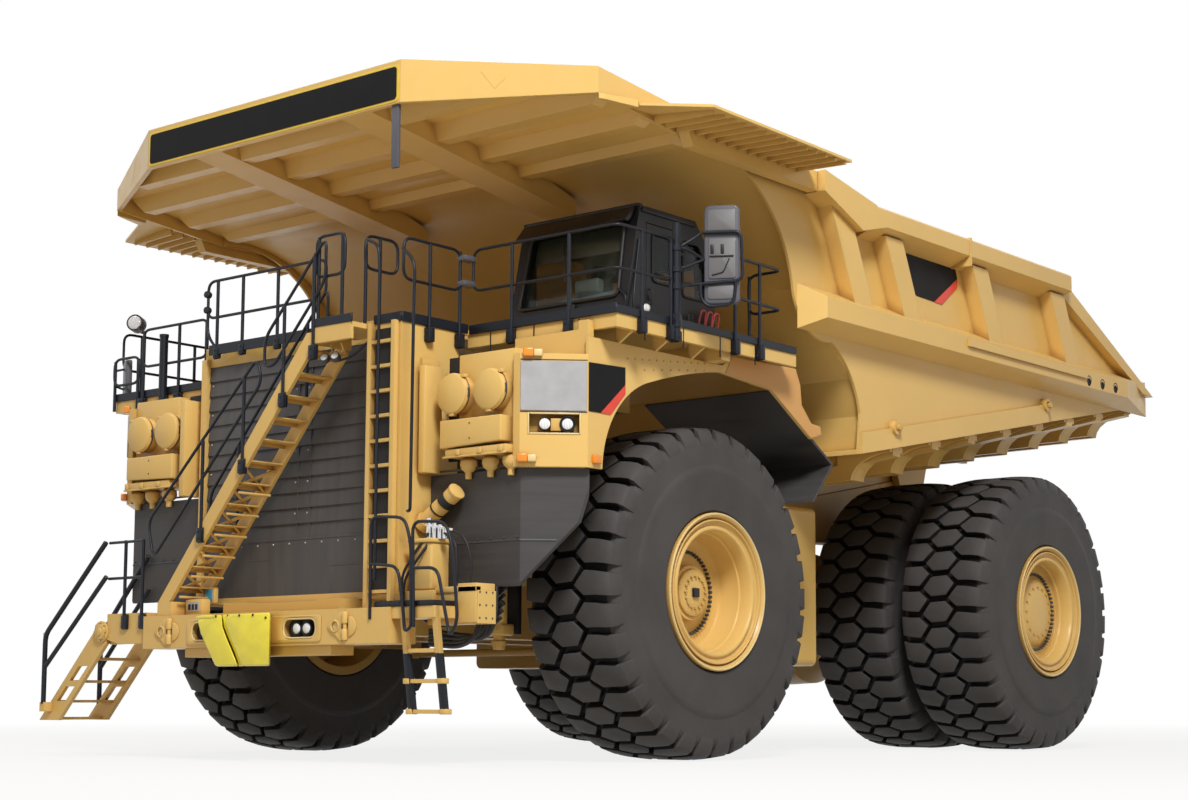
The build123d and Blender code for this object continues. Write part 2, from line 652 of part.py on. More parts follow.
def stair_stringer():
    """Outline of a stringer, with a foot that widens to a level seat."""
    (xa, za), (xb, zb) = STAIR_FOOT, STAIR_HEAD
    return [(xa - 110, za), (xa + 110, za), (xb + 60, zb - 60), (xb + 60, zb + 140),
            (xb - 30, zb + 140)]


def stairway():
    """Stairway across the front: two stringers, open treads with a lip."""
    (xa, za), (xb, zb) = STAIR_FOOT, STAIR_HEAD
    pieces = []
    for y in (STAIR_Y0, STAIR_Y1 - STRINGER_T):
        pieces.append(front_cut(stair_stringer(), y, y + STRINGER_T))
    y0, y1 = STAIR_Y0 + STRINGER_T - 5, STAIR_Y1 - STRINGER_T + 5
    for i in range(TREADS):
        t = (i + 0.6) / TREADS
        x = xa + t * (xb - xa)
        z = za + t * (zb - za)
        tread = front_cut([(x - 60, z - 25), (x - 52, z - 25), (x - 52, z + 22), (x + 140, z + 22),
                           (x + 140, z + 40), (x - 60, z + 40)], y0, y1)
        pieces.append(tread)
    pieces.append(block(xa - 120, xa + 140, STAIR_Y0, STAIR_Y1, BUMPER_TOP, za))
    return fused(pieces)


def ladder(x0, x1, y, z0, z1):
    """Two stringers and a row of rungs."""
    pieces = [block(x0, x0 + 60, y - LADDER_DEPTH, y, z0, z1),
              block(x1 - 60, x1, y - LADDER_DEPTH, y, z0, z1)]
    z = z1 - RUNG_PITCH + 60
    while z > z0 + 60:
        pieces.append(block(x0 + 50, x1 - 50, y - LADDER_DEPTH + 10, y - 10, z - 20, z + 20))
        z -= RUNG_PITCH
    return fused(pieces)


def low_ladder():
    """Short ladder that hangs under the step plate, trailing back towards its foot."""
    x0, x1, y0 = FOOT_PLATE_X - 550, FOOT_PLATE_X, BUMPER_FRONT + 60
    z0, z1 = LOW_LADDER_Z, BUMPER_TOP - 130
    side = [(y0, z1), (y0 + LADDER_DEPTH, z1), (y0 + LADDER_DEPTH + LOW_LADDER_TRAIL, z0),
            (y0 + LOW_LADDER_TRAIL, z0)]
    pieces = [side_cut(side, x0, x0 + 60), side_cut(side, x1 - 60, x1)]
    for i in range(3):
        z = z0 + 30 + i * 330
        y = y0 + LOW_LADDER_TRAIL * (z1 - z) / (z1 - z0)
        pieces.append(block(x0 + 50, x1 - 50, y + 8, y + LADDER_DEPTH - 8, z - 22, z + 22))
    return fused(pieces)


def ladders():
    """Fixed ladder from bumper to platform, and the short one below the step plate."""
    return ladder(LADDER_X0, LADDER_X1, COLUMN_FRONT, BUMPER_TOP, DECK_Z + 20), low_ladder()


RAIL_R = 22.0
POST_R = 28.0
RAIL_HIGH = 1060.0
RAIL_MID = 560.0


def handrail(route, gap=1300.0, foot=0.0):
    """Rails along a route of corner points, on posts at most about a gap apart."""
    pieces = []
    posts = [Vector(*route[0])]
    for start, end in zip(route, route[1:]):
        a, b = Vector(*start), Vector(*end)
        for high in (RAIL_HIGH, RAIL_MID):
            up = Vector(0, 0, high)
            pieces.append(rail_tube(a + up, b + up, RAIL_R))
        parts = max(1, round((b - a).length / gap))
        posts += [a + (b - a) * ((i + 1) / parts) for i in range(parts)]
    for p in posts:
        top = p + Vector(0, 0, RAIL_HIGH + RAIL_R + 6)
        pieces.append(rail_tube(p + Vector(0, 0, foot), top, POST_R))
    return fused(pieces)


RAIL_CORNER_Y = 800.0      # where the side rails turn inwards behind the cab
GATE_FRONT = -1360.0       # opening beside the cab door, for the mirror's post
GATE_REAR = -180.0


def deck_handrails():
    """Handrails round the decks, each foot clamped outside its edge band."""
    edge = DECK_HALF + POST_R
    front = DECK_FRONT - POST_R
    top, low = DECK_Z, RIGHT_DECK_Z
    inner_x = COLUMN_X1 + POST_R
    left = [(inner_x, -2640, top), (inner_x, front, top), (edge, front, top),
            (edge, GATE_FRONT, top)]
    back = [(edge, GATE_REAR, top), (edge, RAIL_CORNER_Y, top)]
    right_y = RIGHT_DECK_FRONT - POST_R
    right = [(-2100, right_y, low), (-edge, right_y, low), (-edge, RAIL_CORNER_Y, low)]
    left_end = handrail([(edge, RAIL_CORNER_Y, top), (3900, RAIL_CORNER_Y, top)])
    right_end = handrail([(-edge, RAIL_CORNER_Y, low), (-3900, RAIL_CORNER_Y, low)])
    landing_y, landing_z = STAIR_Y0 + 40, DECK_Z + 20
    landing = handrail([(LADDER_X0 - 60, landing_y, landing_z),
                        (STAIR_HEAD[0] + 150, landing_y, landing_z)])
    return [handrail(left, foot=-180), handrail(back, foot=-180) + left_end,
            handrail(right, foot=-140) + right_end, landing]


STEP_HINGE = (-2950.0, 1560.0)   # (x, z)
STEP_PIN_R = 25.0
STEP_Y0 = -3700.0          # outer faces of the boarding steps
STEP_Y1 = -2930.0
STEP_T = 50.0
STEP_FOOT_Z = 450.0
STEP_FOOT_X = (-4230.0, -3810.0)
LANDING_X0 = -2850.0
LANDING_REAR = -2990.0
LANDING_LOW = 1400.0
LANDING_TOP = 1780.0
GUARD_RAIL_Y = STEP_Y0 - 30.0    # the landing's own rails
SWING_RAIL_Y = STEP_Y0 - 100.0   # the rail that swings with the steps, outside them


def stair_handrails():
    """Sloping rails on both stringers of the stairway, and the landing's short rails."""
    rails = []
    (xa, za), (xb, zb) = STAIR_FOOT, STAIR_HEAD
    stairs = stairway()
    for y in (STAIR_Y0 + 25, STAIR_Y1 - 25):
        ends = [(xa + t * (xb - xa), y, za + t * (zb - za) + 130) for t in (0.06, 0.94)]
        rails.append(handrail(ends) - stairs)
    y = GUARD_RAIL_Y
    posts = (-2470, BUMPER_RIGHT - 50)
    guard = [rail_tube((-2790, y, 2670), (posts[1], y, 2670), RAIL_R),
             rail_tube((-2750, y, 2220), (posts[1], y, 2220), RAIL_R)]
    for x in posts:
        guard.append(rail_tube((x, y, 1640), (x, y, 2698), POST_R))
        guard.append(block(x - 45, x + 45, STEP_Y0 - 70, STEP_Y0, 1590, 1750))
    rails.append(fused(guard))
    return rails


def landing():
    """Small landing at the bumper's right end, with the ears of the boarding steps' hinge."""
    hx, hz = STEP_HINGE
    x0, x1 = LANDING_X0, BUMPER_RIGHT
    floor = block(x0, x1, STEP_Y0, LANDING_REAR, LANDING_TOP - 90, LANDING_TOP)
    front = front_cut([(x1, LANDING_LOW), (x1, LANDING_TOP), (x0, LANDING_TOP),
                       (x0, LANDING_LOW + 60), (x0 + 240, LANDING_LOW)], STEP_Y0, STEP_Y0 + 50)
    rear = block(x0 + 200, x1, LANDING_REAR - 50, LANDING_REAR, LANDING_LOW, LANDING_TOP)
    pieces = [floor, front, rear]
    near_y = STEP_Y0 + STEP_T + SIDE_GAP
    far_y = STEP_Y1 - STEP_T - SIDE_GAP - STEP_T
    for y in (near_y, far_y):
        pieces.append(front_cut([(x0 + 200, LANDING_LOW), (x0 + 200, LANDING_TOP - 20),
                                 (x0, LANDING_TOP - 20), (hx - 70, hz + 70), (hx - 70, hz - 70),
                                 (x0, LANDING_LOW)], y, y + STEP_T))
    pieces.append(bar((hx, STEP_Y0 - 10, hz), (hx, near_y + 10, hz), STEP_PIN_R))
    pieces.append(bar((hx, far_y + 10, hz), (hx, STEP_Y1 + 10, hz), STEP_PIN_R))
    return fused(pieces)


def boarding_steps():
    """Flight that swings down to the ground: pierced stringers, treads and both rails."""
    hx, hz = STEP_HINGE
    out_x, in_x = STEP_FOOT_X
    mid_x = (out_x + in_x) / 2
    plate = [(hx - 100, hz + 75), (hx + 40, hz + 75), (hx + 85, hz), (hx + 85, hz - 150),
             (in_x, STEP_FOOT_Z), (out_x, STEP_FOOT_Z)]

    def centre(t):
        return hx + 15 + t * (mid_x - hx - 15), hz - 40 + t * (STEP_FOOT_Z - hz + 40)

    pieces = []
    for y in (STEP_Y0, STEP_Y1 - STEP_T):
        stringer = front_cut(plate, y, y + STEP_T)
        for t0, t1 in ((0.36, 0.53), (0.6, 0.77)):
            (xa, za), (xb, zb) = centre(t0), centre(t1)
            stringer -= front_cut([(xa - 95, za), (xa + 95, za), (xb + 95, zb), (xb - 95, zb)],
                                  y - 5, y + STEP_T + 5)
        pieces.append(stringer)
    for t in (0.28, 0.545, 0.78, 0.985):
        x, z = centre(t)
        pieces.append(block(x - 130, x + 110, STEP_Y0 + STEP_T - 5, STEP_Y1 - STEP_T + 5,
                            z - 12, z + 22))
    near, far = SWING_RAIL_Y, STEP_Y1 - STEP_T / 2
    pieces.append(block(-4060, -3960, near - 20, STEP_Y0 + 5, 560, 680))
    for y, top_x, top_z, mid_z in ((near, -2790, 2670, 2240), (far, -3050, 2560, 2130)):
        pieces += [rail_tube((-4010, y, 640), (-4010, y, 1568), POST_R),
                   rail_tube((-4010, y, 1540), (top_x, y, top_z), RAIL_R),
                   rail_tube((-4010, y, 1120), (top_x + 30, y, mid_z), RAIL_R)]
    whole = fused(pieces)
    return whole - bar((hx, STEP_Y0 - 20, hz), (hx, STEP_Y1 + 20, hz), STEP_PIN_R + PIN_GAP)


def step_plate():
    """Step plate beside the bumper's left end, with the box behind it."""
    plate = block(BUMPER_LEFT, FOOT_PLATE_X, BUMPER_FRONT + 30, FRAME_FRONT, BUMPER_TOP - 130,
                  BUMPER_TOP)
    box = block(FOOT_PLATE_X - 470, FOOT_PLATE_X + 290, FRAME_FRONT, -3060, 1540, 1900)
    return plate + box


def save_stairs():
    save("stairway", stairway())
    save("ladders", *ladders(), step_plate())
    save("deck_handrails", *deck_handrails())
    save("stairway_handrails", *stair_handrails())
    save("boarding_landing", landing())
    save("boarding_steps", boarding_steps())


# ---- cab -----------------------------------------------------------------------------------
DOOR_Y0 = -1050.0
DOOR_Y1 = -420.0
DOOR_Z0 = DECK_Z + 90
DOOR_Z1 = CAB_TOP - 190
DOOR_GAP = 10.0
HINGE_X = CAB_X1 + 22      # the door's hinge line
HINGE_Y = DOOR_Y1
HINGE_PIN_R = 12.0
SCREEN_Z0 = 5420.0         # bottom and top of the windscreen
SCREEN_Z1 = 6330.0
GLASS_T = 12.0
SCREEN_LEAN = 260.0        # how far the windscreen leans back over the cab's height
SILL_Z = DECK_Z + 250.0    # where the lean starts


def cab_outline():
    """Side view of the cab: sloping windscreen, level roof, chamfered rear edge."""
    y0, y1 = CAB_FRONT, CAB_REAR
    return [(y0, DECK_Z), (y0, SILL_Z), (y0 + SCREEN_LEAN, CAB_TOP), (y1 - 420, CAB_TOP),
            (y1 - 60, CAB_TOP - 420), (y1, DECK_Z)]


def cab_inside():
    """The same view of the room inside, a wall's thickness in."""
    y0, y1 = CAB_FRONT + CAB_WALL, CAB_REAR - CAB_WALL
    return [(y0, DECK_Z + CAB_WALL), (y0, SILL_Z + 10), (y0 + SCREEN_LEAN, CAB_TOP - CAB_WALL),
            (y1 - 380, CAB_TOP - CAB_WALL), (y1 - 60, CAB_TOP - 460), (y1, DECK_Z + CAB_WALL)]


REAR_PANE = [(-340, 5560), (-340, 6220), (-40, 6220), (140, 5900), (150, 5560)]
RIGHT_PANE = [(-1000, 5500), (-1000, 6250), (-60, 6250), (120, 5900), (140, 5500)]


def cab_solids():
    """Hollow cab with its window openings, and the door that fills its doorway."""
    shell = side_cut(cab_outline(), CAB_X0, CAB_X1)
    shell -= side_cut(cab_inside(), CAB_X0 + CAB_WALL, CAB_X1 - CAB_WALL)
    screen = front_cut([(CAB_X0 + 130, SCREEN_Z0), (CAB_X1 - 130, SCREEN_Z0),
                        (CAB_X1 - 170, SCREEN_Z1), (CAB_X0 + 170, SCREEN_Z1)],
                       CAB_FRONT - 60, CAB_FRONT + 500)
    rear_left = side_cut(REAR_PANE, CAB_X1 - 150, CAB_X1 + 50)
    right_pane = side_cut(RIGHT_PANE, CAB_X0 - 50, CAB_X0 + 150)
    back_pane = block(CAB_X0 + 250, CAB_X1 - 250, CAB_REAR - 300, CAB_REAR + 60, 5500, 6020)
    doorway = block(CAB_X1 - 150, CAB_X1 + 50, DOOR_Y0, DOOR_Y1, DOOR_Z0, DOOR_Z1)
    for cut in (screen, rear_left, right_pane, back_pane, doorway):
        shell -= cut
    leaf = block(CAB_X1 - CAB_WALL, CAB_X1, DOOR_Y0 + DOOR_GAP, DOOR_Y1 - DOOR_GAP,
                 DOOR_Z0 + DOOR_GAP, DOOR_Z1 - DOOR_GAP)
    leaf -= block(CAB_X1 - 150, CAB_X1 + 50, DOOR_Y0 + 110, DOOR_Y1 - 110, 5650, DOOR_Z1 - 120)
    for z in (DOOR_Z0 + 150, DOOR_Z1 - 250):
        hinge_line = (HINGE_X, HINGE_Y)
        sleeve = block(CAB_X1, HINGE_X, HINGE_Y - 50, HINGE_Y, z, z + 90)
        sleeve += bar((*hinge_line, z), (*hinge_line, z + 90), 22)
        leaf += sleeve - bar((*hinge_line, z - 5), (*hinge_line, z + 95), HINGE_PIN_R + PIN_GAP)
        for low in (z - 45, z + 95):
            shell += block(CAB_X1, HINGE_X, HINGE_Y, HINGE_Y + 60, low, low + 40)
            shell += bar((*hinge_line, low), (*hinge_line, low + 40), 22)
        shell += bar((*hinge_line, z - 40), (*hinge_line, z + 130), HINGE_PIN_R)
    return shell, leaf


def cab_windows():
    """Panes set in the middle of the walls, their edges in the window openings' grooves."""
    slope = SCREEN_LEAN / (CAB_TOP - SILL_Z)
    y_low = CAB_FRONT + 45 + slope * (SCREEN_Z0 - SILL_Z)
    y_high = CAB_FRONT + 45 + slope * (SCREEN_Z1 - SILL_Z)
    screen = side_cut([(y_low, SCREEN_Z0), (y_low + GLASS_T, SCREEN_Z0),
                       (y_high + GLASS_T, SCREEN_Z1), (y_high, SCREEN_Z1)],
                      CAB_X0 + 170, CAB_X1 - 170)
    inset = CAB_WALL / 2 - GLASS_T / 2
    left = side_cut(REAR_PANE, CAB_X1 - inset - GLASS_T, CAB_X1 - inset)
    right = side_cut(RIGHT_PANE, CAB_X0 + inset, CAB_X0 + inset + GLASS_T)
    return [screen, left, right]


def cab_inside_pieces():
    """The operator's seat on its pedestal, and the dashboard across the cab."""
    floor = DECK_Z + CAB_WALL
    seat = block(2500, 3050, -520, 30, floor + 250, floor + 400)
    seat += block(2500, 3050, -80, 60, floor + 400, DECK_Z + 1150)
    seat += block(2620, 2930, -420, -60, floor, floor + 250)
    dash = block(2100, 3450, -1290, -1060, floor, 5400)
    return seat, dash


def save_cab():
    shell, leaf = cab_solids()
    seat, dash = cab_inside_pieces()
    save("cab_shell", shell)
    save("cab_door", leaf)
    save("cab_windows", *cab_windows())
    save("operator_seat", seat)
    save("dashboard", dash)


# ---- dump body --------------------------------------------------------------------------------
# (y, z) points of the side sheet's arched front edge and of its top edge
ARCH_TOP = (-880.0, 7200.0)
ARCH_MID = (620.0, 6800.0)
ARCH_LOW = (1160.0, 5800.0)
SHOULDER = (2000.0, 5260.0)
FRONT_FOOT = (2660.0, 4420.0)
KNEE_1 = (1400.0, 7340.0)
KNEE_2 = (2600.0, 7120.0)
TOP_RAIL_END = (PIVOT_Y - 950, 7080.0)
TAIL_Z = floor_z(FLOOR_TAIL) + 120.3
# lower outer corner of each side post (y at its foot) and its width
POST_FEET = (2230.0, 3430.0, PIVOT_Y - 3290, PIVOT_Y - 970)
POST_W = 430.0
POST_LEAN = 470.0
POST_OUT = RAIL_HALF - 100
MID_RAIL_Z = (5330.0, 5460.0, 5730.0, 5900.0)   # inner foot, outer low, outer high, inner top
SILL_OUT = 50.0


def side_sheet():
    """Left side sheet with its arched front edge."""
    with BuildPart() as part:
        with BuildSketch(Plane.YZ.offset(BODY_HALF - PLATE)):
            with BuildLine():
                ThreePointArc(ARCH_TOP, ARCH_MID, ARCH_LOW)
                ThreePointArc(ARCH_LOW, (1420, 5390), SHOULDER)
                ThreePointArc(SHOULDER, (2440, 4900), FRONT_FOOT)
                Polyline(FRONT_FOOT, (FLOOR_FRONT, floor_z(FLOOR_FRONT)),
                         (FLOOR_TAIL, floor_z(FLOOR_TAIL)), (FLOOR_TAIL, TAIL_Z),
                         (TOP_RAIL_END[0], TOP_RAIL_END[1] + 30), (KNEE_2[0], KNEE_2[1] + 10),
                         KNEE_1, (-880, 7430), ARCH_TOP)
            make_face()
        extrude(amount=PLATE)
    return part.part


def top_rail():
    """Top rail with its sloping underside, and the gusset that meets the canopy."""
    x0, x1 = BODY_HALF, RAIL_HALF
    section = [(x0, 6740), (x1, 6870), (x1, 7090), (x1 - 30, 7120), (x0, 7120)]
    rail = front_cut(section, KNEE_2[0], TOP_RAIL_END[0])
    gusset = side_cut([KNEE_1, KNEE_2, (KNEE_2[0] + 260, 6870), (2280, 6720), (1400, 7070)], x0, x1)
    joint_y = POST_FEET[2] - 720
    joint = side_cut([(joint_y, 6730), (joint_y + 40, 6730), (joint_y + 40, 7130),
                      (joint_y, 7130)], x0, x1 + 15)
    return [rail, gusset, joint]


def mid_rail():
    """Middle rail: sloping top and underside, tapering in to the tail, three drain holes."""
    x0, x1 = BODY_HALF, RAIL_HALF
    inner_low, outer_low, outer_high, inner_high = MID_RAIL_Z
    section = [(x0, inner_low), (x1, outer_low), (x1, outer_high), (x0, inner_high)]
    taper_y = PIVOT_Y + 900
    outline = [(x0 - 1, 1230), (x1 + 1, 1440), (x1 + 1, taper_y), (x0 - 1, FLOOR_TAIL)]
    rail = front_cut(section, 1230, FLOOR_TAIL) & plan_cut(outline, 5200, 6000)
    for i in range(3):
        y = PIVOT_Y - 430 + 450 * i
        rail -= axle_x(x1 - 60, x1 + 10, y, 5545, 62)
    strip = side_cut([(PIVOT_Y - 4110, 5580), (PIVOT_Y - 4110, 5690), (PIVOT_Y - 560, 5690),
                      (PIVOT_Y - 560, 5580)], x1, x1 + 40)
    return [rail, strip]


def side_wall():
    """Side sheet with its rails, slanted posts, rear edge stiffener and sill."""
    x0 = BODY_HALF
    pieces = [side_sheet()] + top_rail() + mid_rail()
    for i, y in enumerate(POST_FEET):
        head = 7150 if i == 0 else 6800
        lean = POST_LEAN * (head - 5750) / 1050
        pieces.append(side_cut([(y, 5750), (y + POST_W, 5750), (y + POST_W - lean, head),
                                (y - lean, head)], x0, POST_OUT))
    rear_edge = [(TOP_RAIL_END[0] - 200, 7090), (TOP_RAIL_END[0], 7100), (FLOOR_TAIL - 40, 5640),
                 (FLOOR_TAIL - 420, 5660), (TOP_RAIL_END[0] - 60, 6850)]
    pieces.append(side_cut(rear_edge, x0, x0 + 150))
    sill_end = PIVOT_Y - 1250
    sill = [(FLOOR_FRONT + 20, floor_z(FLOOR_FRONT + 20)), (sill_end, floor_z(sill_end)),
            (sill_end, floor_z(sill_end) + 280), (FLOOR_FRONT + 30, floor_z(FLOOR_FRONT) + 280)]
    pieces.append(side_cut(sill, x0, x0 + SILL_OUT))
    for y in (3430, sill_end - 80):
        z = floor_z(y) + 270
        lifting_eye = axle_x(x0, x0 + SILL_OUT + 40, y, z, 95) - axle_x(x0 + SILL_OUT + 5,
                                                                      x0 + 200, y, z, 45)
        pieces.append(lifting_eye)
    return fused(pieces)


BOLSTER_FIRST = WHEELBASE - 3605.0     # they clear the hoist's eye, which drifts back half way up
BOLSTER_PITCH = 1000.0
BOLSTERS = 8
BOLSTER_T = 180.0
EAR_T = 120.0
HOIST_EYE_HALF = HOIST_BARREL_R - 75.0     # half the length of the hoist's eyes
HOIST_EAR_T = 60.0


def body_floor():
    """Floor sheet, two long beams on the frame, cross bolsters, pivot and hoist ears."""
    half = BODY_HALF - PLATE
    y0, y1 = FLOOR_FRONT, FLOOR_TAIL
    sheet = side_cut([(y0, floor_z(y0)), (y1, floor_z(y1)), (y1, floor_top(y1)),
                      (y0, floor_top(y0))], -half, half)
    beam_low = SEAT_DROP - SEAT_GAP
    beam_end = PIVOT_Y + 600
    long_beam = side_cut([(2900, floor_z(2900)), (beam_end, floor_z(beam_end)),
                          (beam_end, floor_z(beam_end) - 500),
                          (beam_end - 300, floor_z(beam_end - 300) - beam_low),
                          (2900, floor_z(2900) - beam_low)], RAIL_IN + 40, RAIL_OUT - 40)
    pieces = [sheet] + both_sides(long_beam)
    for i in range(BOLSTERS):
        y = BOLSTER_FIRST + i * BOLSTER_PITCH
        z = floor_z(y)
        pieces.append(front_cut([(-half, z + 20), (-half, z - 120), (-2600, z - 330),
                                 (-1100, z - 420), (1100, z - 420), (2600, z - 330),
                                 (half, z - 120), (half, z + 20)],
                                y - BOLSTER_T / 2, y + BOLSTER_T / 2))
    for x0 in (RAIL_OUT + SIDE_GAP, RAIL_IN - EAR_T - SIDE_GAP):
        ear = side_cut([(PIVOT_Y - 650, floor_z(PIVOT_Y - 650)),
                        (PIVOT_Y + 700, floor_z(PIVOT_Y + 700)), (PIVOT_Y + 220, PIVOT_Z - 150),
                        (PIVOT_Y, PIVOT_Z - 240), (PIVOT_Y - 220, PIVOT_Z - 150)], x0, x0 + EAR_T)
        ear -= axle_x(x0 - 10, x0 + EAR_T + 10, PIVOT_Y, PIVOT_Z, PIVOT_R + PIN_GAP)
        pieces += both_sides(ear)
    for x0 in (HOIST_X - HOIST_EYE_HALF - SIDE_GAP - HOIST_EAR_T, HOIST_X + HOIST_EYE_HALF + SIDE_GAP):
        ear = side_cut([(HOIST_EYE_Y - 300, floor_z(HOIST_EYE_Y)),
                        (HOIST_EYE_Y + 300, floor_z(HOIST_EYE_Y) + 20),
                        (HOIST_EYE_Y + 130, HOIST_EYE_Z - 130),
                        (HOIST_EYE_Y - 130, HOIST_EYE_Z - 130)], x0, x0 + HOIST_EAR_T)
        pieces += both_sides(ear)
    return fused(pieces)


def front_wall():
    """Front wall: it follows the side sheets' edge up from the floor and curls forward."""
    half = BODY_HALF - PLATE
    bends = [(2080, 5200), (2520, 4860), (2740, 4400), (2790, floor_top(2790))]
    with BuildPart() as part:
        with BuildSketch(Plane.YZ.offset(-half)):
            with BuildLine():
                ThreePointArc((-700, 7300), (700, 6900), (1450, 5900))
                Polyline((1450, 5900), *bends, *[(y + 60, z + 20) for y, z in bends[::-1]],
                         (1510, 5900))
                ThreePointArc((1510, 5900), (745, 6945), (-700, 7360))
                Line((-700, 7360), (-700, 7300))
            make_face()
        extrude(amount=2 * half)
    return part.part


# canopy, (y, z) points from its nose back
CANOPY_TOP = [(-3710.0, 7910.0), (-2670.0, 7680.0), (1400.0, 7320.0)]
CANOPY_LOW = [(-3710.0, 7410.0), (-2670.0, 7380.0), (-880.0, 7200.0)]
CANOPY_HALF = BODY_HALF + 60
NOSE_HALF = 2290.0
CANOPY_BEAM_X = 1350.0
CANOPY_BEAM_W = 500.0


def canopy():
    """Rock guard over the cab: a sheet with a deep edge band, box beams and cross ribs."""
    nose, corner = CANOPY_LOW[0][0], CANOPY_LOW[1][0]
    w, n = CANOPY_HALF, NOSE_HALF
    wide = [(-w, corner - 10), (-n, nose), (n, nose), (w, corner - 10), (w, 1380), (-w, 1380)]
    slim = [(-w + 60, corner + 25), (-n + 15, nose + 60), (n - 15, nose + 60),
            (w - 60, corner + 25), (w - 60, 1500), (-w + 60, 1500)]
    band_side = side_cut(CANOPY_TOP + [(1400, 7250), (-880, 7200)] + CANOPY_LOW[1::-1],
                         -w - 60, w + 60)
    band = (plan_cut(wide, 7000, 8000) - plan_cut(slim, 6990, 8010)) & band_side
    sheet_side = side_cut([(-3700, 7860), (-2670, 7640), (-700, 7360), (-700, 7300),
                           (-2670, 7590), (-3700, 7810)], -w - 60, w + 60)
    pieces = [band, plan_cut(wide, 7000, 8000) & sheet_side]
    for x in (-CANOPY_BEAM_X, CANOPY_BEAM_X):
        pieces.append(side_cut([(-3690, 7840), (-3690, 7500), (-600, 7050), (100, 6950),
                                (100, 7150), (-700, 7400), (-2670, 7620)],
                               x - CANOPY_BEAM_W / 2, x + CANOPY_BEAM_W / 2))
    for y in (-3100, -2350, -1600, -900):
        z = 7640 - 0.09 * (y + 2670)
        reach = 3400 if y < -2900 else w - 100
        rib = side_cut([(y - 190, z + 30), (y - 90, z - 250), (y + 90, z - 250), (y + 190, z)],
                       -reach, reach)
        ends = front_cut([(-reach, z + 60), (-reach, z - 60), (-reach + 200, z - 260),
                          (reach - 200, z - 260), (reach, z - 60), (reach, z + 60)],
                         y - 200, y + 200)
        pieces.append(rib & ends)
    whole = fused(pieces)
    return whole - front_wall() - side_sheet() - other_side(side_sheet())


FLAP_RIBS = 14


def gutter_flap():
    """Sloping flap beside the canopy, ribbed below, on its own side beam."""
    x0, x1 = CANOPY_HALF, 5300
    slope_top = [(x0, 7380), (x1, 7270), (x1, 7235), (x0, 7345)]
    plan = plan_cut([(x0, -2230), (x1, -1830), (x1 - 70, 1050), (x0, 1180)], 7000, 7500)
    pieces = [front_cut(slope_top, -2300, 1300) & plan]
    for i in range(FLAP_RIBS):
        y = -1740 + i * 205
        pieces.append(front_cut([(x0 + 40, 7342), (x1 - 90, 7250), (x1 - 90, 7200),
                                 (x0 + 40, 7230)], y, y + 30))
    pieces.append(side_cut([(-1300, 7350), (1390, 7330), (1390, 7080), (-1150, 7090)],
                           x0, x0 + 150))
    nose = plan_cut([(x0, -2670), (x0 + 40, -2600), (x0 + 170, -2180), (x0, -2200)], 7250, 7400)
    pieces.append(nose & side_cut([(-2680, 7380), (-2150, 7385), (-2150, 7300), (-2680, 7320)],
                                  x0, x0 + 400))
    return fused(pieces)


def save_body():
    side = side_wall()
    save("body_floor", body_floor())
    save("body_left_side", side)
    save("body_right_side", other_side(side))
    save("body_front_wall", front_wall())
    save("body_canopy", canopy())
    save("gutter_flaps", *both_sides(gutter_flap()))


# ---- hoist cylinders ---------------------------------------------------------------------------
HOIST_LENGTH = hypot(HOIST_EYE_Y - HOIST_FOOT_Y, HOIST_EYE_Z - HOIST_FOOT_Z)


def along_hoist(distance):
    """A point on the left cylinder's centre line, measured from its foot pin."""
    share = distance / HOIST_LENGTH
    return (HOIST_X, HOIST_FOOT_Y + share * (HOIST_EYE_Y - HOIST_FOOT_Y),
            HOIST_FOOT_Z + share * (HOIST_EYE_Z - HOIST_FOOT_Z))


def hoist_cylinder():
    """Barrel, middle stage and rod of the left cylinder."""
    stage_r, rod_r = HOIST_BARREL_R - 40, HOIST_BARREL_R - 80
    barrel_end, stage_end = HOIST_LENGTH - 497, HOIST_LENGTH - 417
    foot_half = HOIST_EYE_HALF + 10
    barrel = bar(along_hoist(100), along_hoist(barrel_end), HOIST_BARREL_R)
    barrel += bar(along_hoist(barrel_end - 120), along_hoist(barrel_end), HOIST_BARREL_R + 18)
    barrel += axle_x(HOIST_X - foot_half, HOIST_X + foot_half, HOIST_FOOT_Y, HOIST_FOOT_Z, 190)
    barrel -= bar(along_hoist(300), along_hoist(barrel_end + 10), stage_r + PIN_GAP)
    barrel -= axle_x(HOIST_X - foot_half - 10, HOIST_X + foot_half + 10, HOIST_FOOT_Y,
                     HOIST_FOOT_Z, HOIST_PIN_R + PIN_GAP)
    stage = bar(along_hoist(310), along_hoist(stage_end), stage_r)
    stage -= bar(along_hoist(380), along_hoist(stage_end + 10), rod_r + PIN_GAP)
    rod = bar(along_hoist(390), along_hoist(HOIST_LENGTH - 80), rod_r)
    rod += axle_x(HOIST_X - HOIST_EYE_HALF, HOIST_X + HOIST_EYE_HALF, HOIST_EYE_Y, HOIST_EYE_Z, 180)
    return barrel, stage, rod


def save_hoist():
    barrel, stage, rod = hoist_cylinder()
    save("hoist_barrels", *both_sides(barrel))
    save("hoist_stages", *both_sides(stage))
    save("hoist_rods", *both_sides(rod))


# ---- tanks and fittings --------------------------------------------------------------------------
TANK_Y0 = 2850.0
TANK_Y1 = 3850.0
TANK_X1 = 2750.0
TANK_LOW = 1180.0


